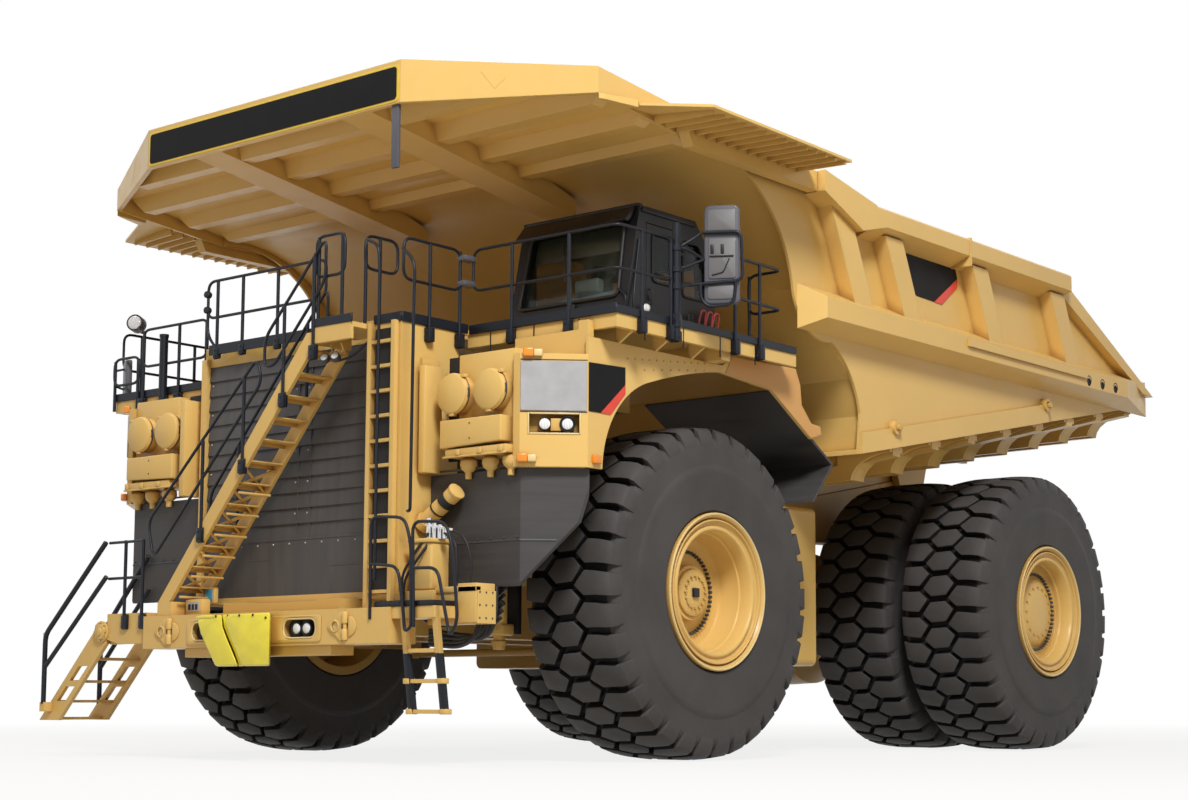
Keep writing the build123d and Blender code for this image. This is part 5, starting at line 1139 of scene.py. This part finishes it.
def floor_gussets():
    """Curved ends that carry the body's cross bolsters out to the side sheets' lower edge."""
    shapes = []
    for i in range(8):
        y = -0.025 + i
        z = 3.88 + 0.19 * (y + 1.015)
        skin = [(4.235 - 0.62 * sin(a), z - 0.07 - 0.34 * (1 - cos(a)))
                for a in (radians(15 * k) for k in range(7))]
        curve = [(4.235, z + 0.01), *skin, (2.6, z - 0.425), (2.6, z - 0.3), (3.4, z - 0.2),
                 (3.4, z + 0.01)]
        shapes += [drawn(at_y(start, curve), (0, 0.068, 0)) for start in (y - 0.16, y + 0.092)]
        inner = [(x - 0.02, h + 0.02) for x, h in reversed(skin)]
        shapes.append(drawn(at_y(y - 0.1, skin + inner), (0, 0.2, 0)))
    put("floor_gussets", "yellow", shapes, "dump_body", both=True)


def under_deck_gear():
    """Steering arm, post, hoses and brackets between the mudguard and the bumper's end."""
    parts = [eased((1.9, -5.62, 1.46), (2.34, -5.4, 1.6), 0.03, 3),
             eased((2.22, -5.62, 1.5), (2.32, -5.5, 2.1), 0.02),
             round_bar((2.2, -5.52, 1.3), (2.2, -5.52, 1.46), 0.07, 20),
             round_bar((2.2, -5.52, 1.34), (2.2, -5.52, 1.4), 0.09, 20)]
    put("steering_post", "shaded_yellow", parts)
    heads = [(3.24, -6.93 + 0.1 * i, z) for z in (1.6, 1.74, 1.88) for i in range(3)]
    put("corner_plate_bolts", "bolt", bolts(heads, (1, 0, 0), 0.012, 0.008))
    lines = []
    for i in range(6):
        z, y = 1.52 + 0.085 * i, -6.48 + 0.018 * i
        lines.append(bent_tube([(1.95, y, z + 0.1), (2.25, y - 0.02, z + 0.08 * (i % 2)),
                                (2.62, y + 0.03, z + 0.18), (2.92, y + 0.02, z - 0.02),
                                (3.1, y + 0.03, z + 0.1)], 0.024 + 0.006 * (i % 3), 0.16))
    put("steering_hoses", "hose", lines)
    fittings = [round_bar((2.55, -6.48 + 0.018 * i, 1.68 + 0.08 * i),
                          (2.66, -6.47 + 0.018 * i, 1.715 + 0.08 * i), 0.042, 6) for i in range(5)]
    put("hose_fittings", "chrome", fittings)
    put("steering_valve", "shaded_yellow", [eased((2.24, -6.56, 1.72), (2.46, -6.4, 1.93), 0.02),
                                      eased((2.66, -6.24, 1.6), (2.82, -6.08, 1.8), 0.02)])
    # A dark sheet under the deck: painted shade.
    put("under_deck_shade_panel", "shade", eased((1.83, -5.3, 1.48), (2.3, -5.24, 2.35), 0.01))


def stair_fittings():
    """Bracing under the lower treads, mats, sockets and the small things near the stairs."""
    bars = []
    near, far = -7.29, -6.81
    for i in range(6):
        (ax, az), (bx, bz) = [(-1.7 + 2.54 * t, 1.87 + 2.9 * t) for t in ((i + 0.6) / 12, (i + 1.6) / 12)]
        bars += [round_bar((ax, near, az), (bx, far, bz), 0.019, 8),
                 round_bar((ax, far, az), (bx, near, bz), 0.019, 8),
                 round_bar((ax + 0.12, near, az - 0.06), (ax + 0.12, far, az - 0.06), 0.016, 8)]
    put("stair_bracing", "yellow", bars)
    mats = [eased((low, -7.35, 1.735), (high, -6.99, 1.79), 0.01)
            for low, high in ((2.03, 2.6), (2.66, 2.94))]
    mats += [eased((2.05 + 0.07 * i, -7.352, 1.745), (2.07 + 0.07 * i, -7.0, 1.797), 0.004)
             for i in range(8)]
    put("step_plate_mats", "rail", mats)
    put("isolator_box", "yellow", eased((-1.52, -7.15, 1.735), (-1.2, -7.02, 1.93), 0.012))
    put("isolator_panel", "plate_grey", eased((-1.47, -7.158, 1.775), (-1.25, -7.145, 1.895), 0.006))
    put("isolator_switches", "rail",
        [eased((-1.45 + 0.065 * i, -7.163, 1.8), (-1.405 + 0.065 * i, -7.154, 1.87), 0.004)
         for i in range(3)])
    put("gauge_box", "yellow", eased((-1.52, -6.86, 1.89), (-1.34, -6.79, 2.09), 0.012))
    put("gauge_face", "blue", eased((-1.5, -6.868, 1.92), (-1.37, -6.855, 2.06), 0.006))
    lamps("platform_lamps", [facing(x, -7.22, 4.66, 20, -25) for x in (0.98, 1.16)], 0.055,
          shell="mirror_grey")
    hooks = [bent_tube([(x + 0.09, -7.2, 4.8), (x + 0.09, -7.16, 4.72), (x, -7.17, 4.67)], 0.012, 0.03)
             for x in (0.98, 1.16)]
    put("platform_lamp_brackets", "shaded_yellow", hooks)
    cable = [(0.8, -7.0, 4.78), (0.95, -7.05, 4.62), (1.25, -7.02, 4.66), (1.5, -7.0, 4.82)]
    put("platform_cable", "hose", bent_tube(cable, 0.014, 0.1))


def low_ladder_legs():
    """Rubber lower legs of the hanging ladder, with yellow rungs between them."""
    def leg_y(z):
        return -7.305 + 0.15 * (1.6 - z) / 1.04

    legs = []
    for x in (2.395, 2.885):
        outline = at_x(x, [(leg_y(z) + dy, z) for z, dy in ((1.22, -0.006), (1.22, 0.078),
                                                             (0.6, 0.078), (0.6, -0.006))])
        legs.append(bevelled(drawn(outline, (0.07, 0, 0)), 0.01))
    put("low_ladder_rubber_legs", "rail", legs)
    ends = [eased((x - 0.01, leg_y(z) - 0.016, z - 0.03), (x + 0.08, leg_y(z) + 0.09, z + 0.03))
            for z in (0.59, 0.92) for x in (2.38, 2.9)]
    put("low_ladder_rung_ends", "yellow", ends)


# ---- canopy, mirrors and work lamps ---------------------------------------------------------
def without(piece, cutter):
    """The piece with a cutter's shape taken out of it."""
    cutter.hide_render = True
    piece = modified(piece, "BOOLEAN", operation="DIFFERENCE", solver="EXACT", object=cutter)
    bpy.data.objects.remove(cutter)
    return piece


def trimmed_canopy():
    """The canopy with the ends of its first rib cut back to the slanted edge band."""
    canopy = twin_of(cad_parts["body_canopy"], Matrix.Identity(4))
    canopy.hide_set(False)
    chosen(canopy)
    edit_all(remove_doubles={"threshold": 0.0002})
    for side in (1, -1):
        wedge = drawn([(side * 2.938, -7.002, 7.0), (side * 3.734, -6.602, 7.0),
                       (side * 3.914, -6.959, 7.0), (side * 3.118, -7.359, 7.0)], (0, 0, 0.92))
        canopy = without(canopy, wedge)
    piece = put("canopy_sheet", "yellow", canopy, "dump_body")
    bpy.ops.object.shade_flat()
    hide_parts("body_canopy")


def mirror_head():
    """Left mirror: a tall head with three panels, held in a loop of tube on a post."""
    place = facing(4.72, -4.525, 0.0, 30)
    shell = moved(rounded_plate((-0.205, 5.235), (0.205, 6.395), -0.05, 0.1, 0.07), place)
    bevelled(shell, 0.018, 3)
    piece = put("left_mirror_shell", "mirror_grey", shell)
    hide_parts("mirrors")
    panels = [((-0.165, 6.06), (0.165, 6.34), 0.04), ((-0.15, 5.53), (0.165, 6.0), 0.03),
              ((-0.165, 5.29), (0.15, 5.45), 0.04)]
    made = []
    for low, high, radius in panels:
        plate = moved(rounded_plate(low, high, -0.062, 0.014, radius), place)
        made.append(bevelled(plate, 0.006))
    put("left_mirror_panels", "mirror_panel", made)
    marks = [moved(eased((-0.13 + 0.12 * i, -0.075, 5.82), (-0.09 + 0.12 * i, -0.06, 5.93), 0.01),
                   place) for i in range(2)]
    marks.append(moved(bent_tube(at_y(-0.07, [(-0.11, 5.57), (0.02, 5.6), (0.09, 5.76)]),
                                 0.007, 0.03), place))
    marks.append(moved(bent_tube([(-0.14, -0.07, 5.79), (0.14, -0.07, 5.79)], 0.008, 0), place))
    put("left_mirror_hardware", "hose", marks)
    tubes = [at_y(-0.08, [(-0.22, 6.07), (0.23, 6.07), (0.25, 5.5), (-0.36, 5.46)]),
             at_y(-0.08, [(-0.24, 5.47), (-0.24, 5.3), (-0.16, 5.2), (0.14, 5.22), (0.17, 5.48)])]
    loops = [moved(bent_tube(points, 0.02, 0.09), place) for points in tubes]
    arms = [[(4.39, -4.955, 5.86), (4.5, -4.8, 5.98), (4.55, -4.69, 6.07)],
            [(4.39, -4.955, 5.88), (4.47, -4.85, 5.86), (4.56, -4.66, 5.76)],
            [(4.39, -4.955, 5.62), (4.46, -4.85, 5.66), (4.56, -4.66, 5.76)],
            [(4.39, -4.955, 5.42), (4.46, -4.8, 5.45), (4.45, -4.72, 5.46)]]
    loops += [bent_tube(points, 0.018, 0.04) for points in arms]
    put("left_mirror_tubes", "rail", loops)
    post = [round_bar((4.39, -4.955, 4.8), (4.39, -4.955, 6.14), 0.047, 24),
            round_bar((4.39, -4.955, 6.12), (4.39, -4.955, 6.16), 0.038, 24)]
    post += [round_bar((4.39, -4.955, z - 0.035), (4.39, -4.955, z + 0.035), 0.062, 16)
             for z in (4.86, 4.98, 5.42, 5.62, 5.87)]
    put("left_mirror_post", "rail", post)
    clamps("left_mirror_clamps", [(4.372, -4.955, z) for z in (4.84, 5.04)], (0.12, 0.12, 0.12))


def right_mirror():
    """Small mirror and the work lamp at the right deck's front corner."""
    shell = rounded_plate((-0.12, -0.26), (0.12, 0.26), -0.04, 0.08, 0.05)
    bevelled(shell, 0.015)
    put("right_mirror_shell", "mirror_grey", moved(shell, facing(-4.2, -6.14, 5.05, -25)))
    arms = [bent_tube([(-4.32, -6.25, 5.16), (-4.24, -6.12, 5.2), (-4.2, -6.08, 5.1)], 0.016, 0.04),
            bent_tube([(-4.32, -6.25, 4.95), (-4.24, -6.12, 4.9), (-4.2, -6.08, 4.98)], 0.016, 0.04)]
    put("right_mirror_arms", "rail", arms)
    lamps("right_work_lamp", [facing(-3.98, -6.22, 5.8, 28, -8)], 0.115, shell="mirror_grey")
    bracket = bent_tube([(-3.74, -6.25, 5.62), (-3.86, -6.22, 5.66), (-3.95, -6.16, 5.76)], 0.018, 0.05)
    put("right_work_lamp_bracket", "hose", bracket)
    lamps("hood_lamps", [facing(-1.79, -6.74, z, 15, 0) for z in (5.62, 5.82)], 0.045,
          shell="hose", glass="hose")


# ---- cab ------------------------------------------------------------------------------------
def screen_frame():
    """Seals, visor, wiper and window frames of the cab."""
    front = bent_tube(at_y(-0.012, [(1.99, 0.185), (3.56, 0.185), (3.51, 1.135), (2.04, 1.135)]),
                      0.022, 0.09, closed=True)
    side = bent_tube(at_x(3.705, [(-3.965, 5.55), (-3.965, 6.23), (-3.655, 6.23), (-3.47, 5.9),
                                  (-3.46, 5.55)]), 0.016, 0.06, closed=True)
    put("cab_window_seals", "hose", [moved(front, SCREEN), side])
    door = [bent_tube(at_x(3.708, [(-4.545, 5.64), (-4.545, 6.22), (-4.145, 6.22), (-4.145, 5.64)]),
                      0.016, 0.07, closed=True),
            bent_tube(at_y(-4.6, [(3.7, 5.34), (3.74, 5.36), (3.74, 5.52), (3.7, 5.54)]), 0.01, 0.02),
            eased((3.7, -4.62, 5.4), (3.716, -4.575, 5.47), 0.005)]
    put("cab_door_fittings", "hose", door, "cab_door")
    put("cab_door_pane", "glass", eased((3.675, -4.545, 5.66), (3.683, -4.145, 6.21), 0.002, 1),
        "cab_door")
    put("cab_sun_visor", "visor", moved(eased((2.06, 0.075, 0.8), (3.49, 0.085, 1.12), 0.004), SCREEN))
    wiper = [bent_tube([(2.86, -0.03, 0.12), (2.8, -0.04, 0.5), (2.62, -0.035, 0.84)], 0.01, 0.1),
             bent_tube([(2.7, -0.028, 0.46), (2.6, -0.03, 0.95)], 0.012, 0),
             eased((2.8, -0.045, 0.07), (2.92, -0.01, 0.15), 0.012)]
    put("cab_wiper", "hose", [moved(part, SCREEN) for part in wiper])
    sill = [eased((1.98, -5.052, 5.26), (3.56, -5.03, 5.285), 0.006),
            eased((2.02, -5.05, 5.05), (3.4, -5.036, 5.065), 0.004),
            eased((2.1, -5.052, 5.12), (2.2, -5.034, 5.18), 0.01)]
    put("cab_front_seams", "hose", sill)
    corner = [bent_tube([(3.66, -5.055, 5.02), (3.72, -5.04, 5.4), (3.55, -5.0, 5.5)], 0.014, 0.1),
              bent_tube([(3.74, -4.93, 5.0), (3.745, -4.95, 5.3), (3.715, -4.88, 5.62),
                         (3.712, -4.8, 6.1)], 0.014, 0.15)]
    put("cab_corner_cables", "rail", corner)
    lamps("door_lamp", [facing(3.79, -4.76, 5.28, 60)], 0.05, shell="plate_grey")
    coils = []
    for i in range(3):
        y = -3.74 + 0.135 * i
        coils.append(bent_tube([(3.76, y, 5.2), (3.8, y + 0.02, 5.41), (3.8, y + 0.11, 5.41),
                                (3.76, y + 0.12, 5.2)], 0.013, 0.07))
    put("cab_air_lines", "red_hose", coils)
    put("cab_roof_gutter", "dark", [eased((1.86, -4.8, 6.505), (3.69, -4.7, 6.545), 0.012),
                                    eased((3.685, -4.75, 6.44), (3.725, -3.72, 6.5), 0.012)])
    brow = at_x(1.9, [(-4.86, 6.36), (-4.93, 6.3), (-4.99, 6.31), (-4.83, 6.5), (-4.79, 6.5)])
    put("cab_brow", "dark", softened(drawn(brow, (1.75, 0, 0)), 0.01))
    put("cab_side_vents", "hose",
        [eased((3.74, -3.92 + 0.07 * i, 5.16), (3.752, -3.885 + 0.07 * i, 5.34), 0.008)
         for i in range(2)])


def steering_console():
    """Console, column and wheel behind the windscreen."""
    side = at_x(2.35, [(-4.66, 5.41), (-4.66, 5.56), (-4.5, 5.62), (-4.36, 5.5), (-4.4, 5.06)])
    base = softened(drawn(side, (0.95, 0, 0)), 0.03, 3)
    column = bent_tube([(2.78, -4.6, 5.4), (2.78, -4.46, 5.7)], 0.05, 0, 5)
    panel = eased((2.6, -4.7, 5.58), (2.98, -4.56, 5.76), 0.04, 3)
    put("steering_console", "console", [base, column, panel])
    begin()
    bpy.ops.mesh.primitive_torus_add(location=(2.78, -4.4, 5.78), rotation=(radians(35), 0, 0),
                                     major_radius=0.21, minor_radius=0.017, major_segments=40)
    wheel = [bpy.context.object]
    for angle in (90, 210, 330):
        tip = (2.78 + 0.2 * cos(radians(angle)), -4.4 + 0.2 * sin(radians(angle)) * 0.82,
               5.78 + 0.2 * sin(radians(angle)) * 0.57)
        wheel.append(round_bar((2.78, -4.4, 5.76), tip, 0.014, 10))
    put("steering_wheel", "hose", wheel)


def cushion(low, high, crown, tuft):
    """Crowned cushion: eased box, subdivided, its middle swollen and channels pressed in."""
    pad = chosen(eased(low, high, 0.045))
    edit_all(subdivide={"number_cuts": 5})
    middle = (Vector(low) + Vector(high)) / 2
    half = (Vector(high) - Vector(low)) / 2
    axis, along = (2, 1) if tuft == "flat" else (1, 2)
    for vertex in pad.data.vertices:
        place = [(vertex.co[i] - middle[i]) / half[i] for i in range(3)]
        swell = (1 - place[0] ** 2) * (1 - place[along] ** 2)
        channel = 0.6 + 0.4 * abs(sin(place[0] * pi * 1.5))
        vertex.co[axis] += crown * swell * channel * (1 if place[axis] > 0 else -1)
    return modified(pad, "SUBSURF", levels=1, render_levels=1)


def operator_seat():
    """Padded seat: cushion, back, head rest, pedestal and rails."""
    pad = put("operator_seat_pads", "cloth",
              [cushion((2.51, -4.1, 5.31), (3.04, -3.64, 5.43), 0.018, "flat"),
               cushion((2.51, -3.69, 5.42), (3.04, -3.58, 5.93), 0.018, "upright"),
               cushion((2.65, -3.69, 5.96), (2.9, -3.6, 6.11), 0.012, "upright")])
    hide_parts("operator_seat")
    pedestal = [(2.66, -4.02, 5.06), (2.89, -4.02, 5.06), (2.84, -3.98, 5.24), (2.71, -3.98, 5.24)]
    frame_parts = [eased((2.56, -4.06, 5.24), (2.99, -3.6, 5.31), 0.02),
                   drawn(pedestal, (0, 0.34, 0)),
                   eased((2.6, -4.08, 5.05), (2.95, -3.62, 5.09), 0.01)]
    frame_parts += [round_bar((x, -3.63, 5.92), (x, -3.63, 6.0), 0.012) for x in (2.72, 2.83)]
    put("operator_seat_frame", "hose", frame_parts)


# ---- front corner equipment -------------------------------------------------------------------
def grease_unit():
    """Lubricator, its valves and hoses, and the intake pipe beside the radiator cover."""
    tank = eased((2.2, -6.99, 1.92), (2.55, -6.7, 2.46), 0.03, 3)
    lid = eased((2.18, -7.01, 2.45), (2.57, -6.68, 2.5), 0.015)
    shelf = [eased((2.05, -7.02, 1.745), (2.62, -6.66, 1.92), 0.01),
             eased((2.95, -6.98, 1.55), (3.23, -6.68, 1.98), 0.01),
             eased((2.6, -6.98, 1.88), (3.23, -6.9, 1.95), 0.01)]
    put("lubricator", "yellow", [tank, lid] + shelf)
    valves = [round_bar((2.4 + dx, -6.88, 2.49), (2.4 + dx, -6.88, 2.49 + height), radius, 20)
              for dx, height, radius in ((0.0, 0.24, 0.035), (0.085, 0.2, 0.03), (0.17, 0.16, 0.028),
                                         (0.25, 0.12, 0.03))]
    valves += [round_bar((2.36, -6.88, 2.66), (2.78, -6.88, 2.58), 0.02, 12)]
    put("lubricator_valves", "chrome", valves)
    lines = [[(2.44, -6.93, 2.56), (2.36, -7.05, 2.35), (2.16, -7.06, 2.1), (2.12, -7.02, 1.8)],
             [(2.5, -6.93, 2.5), (2.44, -7.06, 2.3), (2.22, -7.08, 2.05), (2.16, -7.03, 1.8)],
             [(2.66, -6.9, 2.55), (2.86, -6.92, 2.45), (2.88, -6.92, 2.1), (2.82, -6.9, 1.9)],
             [(2.7, -6.88, 2.6), (2.96, -6.88, 2.5), (3.05, -6.86, 2.2), (3.0, -6.84, 1.95)]]
    put("lubricator_lines", "hose", [bent_tube(line, 0.016, 0.12) for line in lines])
    pipe = [round_bar((2.08, -6.66, 2.7), (2.6, -6.66, 3.035), 0.095, 28),
            softened(round_bar((2.585, -6.66, 3.025), (2.615, -6.66, 3.045), 0.104, 28), 0.008),
            round_bar((2.06, -6.66, 2.687), (2.14, -6.66, 2.739), 0.115, 28)]
    put("intake_pipe", "yellow", pipe)
    put("intake_pipe_bands", "hose",
        [round_bar((2.42, -6.66, 2.92), (2.5, -6.66, 2.97), 0.108, 28),
         round_bar((2.3, -6.66, 2.842), (2.315, -6.66, 2.852), 0.102, 28)])
    bundle = []
    for i in range(5):
        dx, dz = 0.055 * i, 0.02 * (i % 3)
        bundle.append(bent_tube([(2.95 + dx, -6.6, 1.95), (3.0 + dx, -6.66, 1.62 - dz),
                                 (2.86 + dx, -6.62, 1.38 + dz), (2.55, -6.55, 1.3 + dz + 0.03 * i),
                                 (2.05, -6.5, 1.34 + 0.04 * i)], 0.026, 0.16))
    put("corner_hoses", "hose", bundle)


def guard_seams():
    """Seams, bolts and stiffeners on the rubber mudguards, along the fold as well."""
    strips = []
    for low, high, out in ((2.455, 2.475, 0.006), (3.285, 3.31, 0.009)):
        strips.append(eased((2.1, -6.515 - out, low), (3.435, -6.512, high), 0.003, 1))
    strips.append(drawn([(3.44, -6.522, 2.455), (3.735, -6.243, 2.455), (3.728, -6.235, 2.475),
                         (3.433, -6.514, 2.475)], (0.003, -0.003, 0.001)))
    put("mudguard_seams", "bolt", strips, both=True)
    heads = [(2.2 + 0.2 * i, -6.516, 2.5) for i in range(7)]
    put("mudguard_bolts", "bolt", bolts(heads, (0, -1, 0), 0.016, 0.012), both=True)


def boarding_step_rails():
    """Dark round tubes over the swinging steps' rails, and the hinge's round covers."""
    tubes = []
    for y, top, mid in ((-7.415, (-2.79, 2.67), (-2.76, 2.24)), (-6.57, (-3.05, 2.56), (-3.02, 2.13))):
        tubes.append(bent_tube(at_y(y, [(-4.01, 0.66), (-4.01, 1.54), top]), 0.033, 0.1))
        tubes.append(bent_tube(at_y(y, [(-4.01, 1.12), mid]), 0.03, 0))
    put("boarding_step_rails", "rail", tubes, "boarding_steps")
    x, z = -2.95, 1.56
    hub = [bevelled(round_bar((x, y + 0.015, z), (x, y - 0.015, z), radius, 40), 0.006)
           for radius, y in ((0.135, -7.325), (0.1, -7.345), (0.05, -7.36))]
    ring = [(x + 0.112 * cos(k * pi / 4), -7.345, z + 0.112 * sin(k * pi / 4)) for k in range(8)]
    hub.append(bolts(ring, (0, -1, 0), 0.012, 0.016))
    put("boarding_step_hinge_covers", "yellow", hub, "boarding_steps")


# ---- studio and closing ---------------------------------------------------------------------
def direct(nodes):
    """1 for rays from the camera, through glass or off a shine: only these see white."""
    path = nodes.node("ShaderNodeLightPath", output="Is Camera Ray")
    clear = path.maths("MAXIMUM", path.output("Is Transmission Ray"), path.output("Is Glossy Ray"))
    return path.maths("MAXIMUM", path, clear)


def studio():
    """White surroundings, an even light and one broad lamp; the floor keeps the shadow."""
    world = bpy.context.scene.world = bpy.data.worlds.new("studio")
    world.use_nodes = True
    sky = Nodes(world.node_tree)
    back = sky.tree.nodes["Background"]
    seen = direct(sky)
    sky.feed(back.inputs["Strength"], sky.node("ShaderNodeMapRange", None,
                                               {"To Min": 0.27, "To Max": 1.0, "Value": seen}))
    sky.feed(back.inputs["Color"], sky.blend(seen, (1.0, 0.89, 0.73), (1.0, 1.0, 1.0)))
    begin()
    bpy.ops.mesh.primitive_plane_add(size=400.0, location=(0, 0, 0))
    floor = bpy.context.object
    floor.name = "floor"
    paint = bpy.data.materials.new("studio_floor")
    paint.use_nodes = True
    ground = Nodes(paint.node_tree)
    ground.tree.nodes.clear()
    where = ground.node("ShaderNodeTexCoord", output="Object")
    reach = ground.node("ShaderNodeVectorMath", {"operation": "LENGTH"}, [where], "Value")
    fade = ground.node("ShaderNodeMapRange", None, {"From Min": 7.0, "From Max": 34.0,
                                                    "To Min": 0.84, "Value": reach})
    matt = ground.node("ShaderNodeBsdfDiffuse", None, {"Color": (0.62, 0.59, 0.53, 1)})
    mix = ground.node("ShaderNodeMixShader", None, [direct(ground) * fade, matt,
                                                    ground.node("ShaderNodeEmission")])
    out = ground.tree.nodes.new("ShaderNodeOutputMaterial")
    ground.feed(out.inputs["Surface"], mix)
    floor.data.materials.append(paint)
    soft_lamp("key", 7150.0, 7.0, (18.5, -17.5, 22.0), (0, -1, 3))
    soft_lamp("top", 1500.0, 12.0, (-6.0, -6.0, 19.0), (0, 0, 4))


set_camera()
bpy.context.scene.view_settings.view_transform = "Standard"
dress_frame()
for build in (
    place_tyres, place_rim_fittings, deck_rails, kick_strips, stair_rails, headlight_boxes,
    body_badges, face_bolts, tow_eyes, chocks, intake_boxes, ladder_shade_sheet, floor_gussets,
    under_deck_gear, stair_fittings, low_ladder_legs, trimmed_canopy, mirror_head, right_mirror,
    screen_frame, steering_console, operator_seat, grease_unit, guard_seams, boarding_step_rails):
    build()
studio()
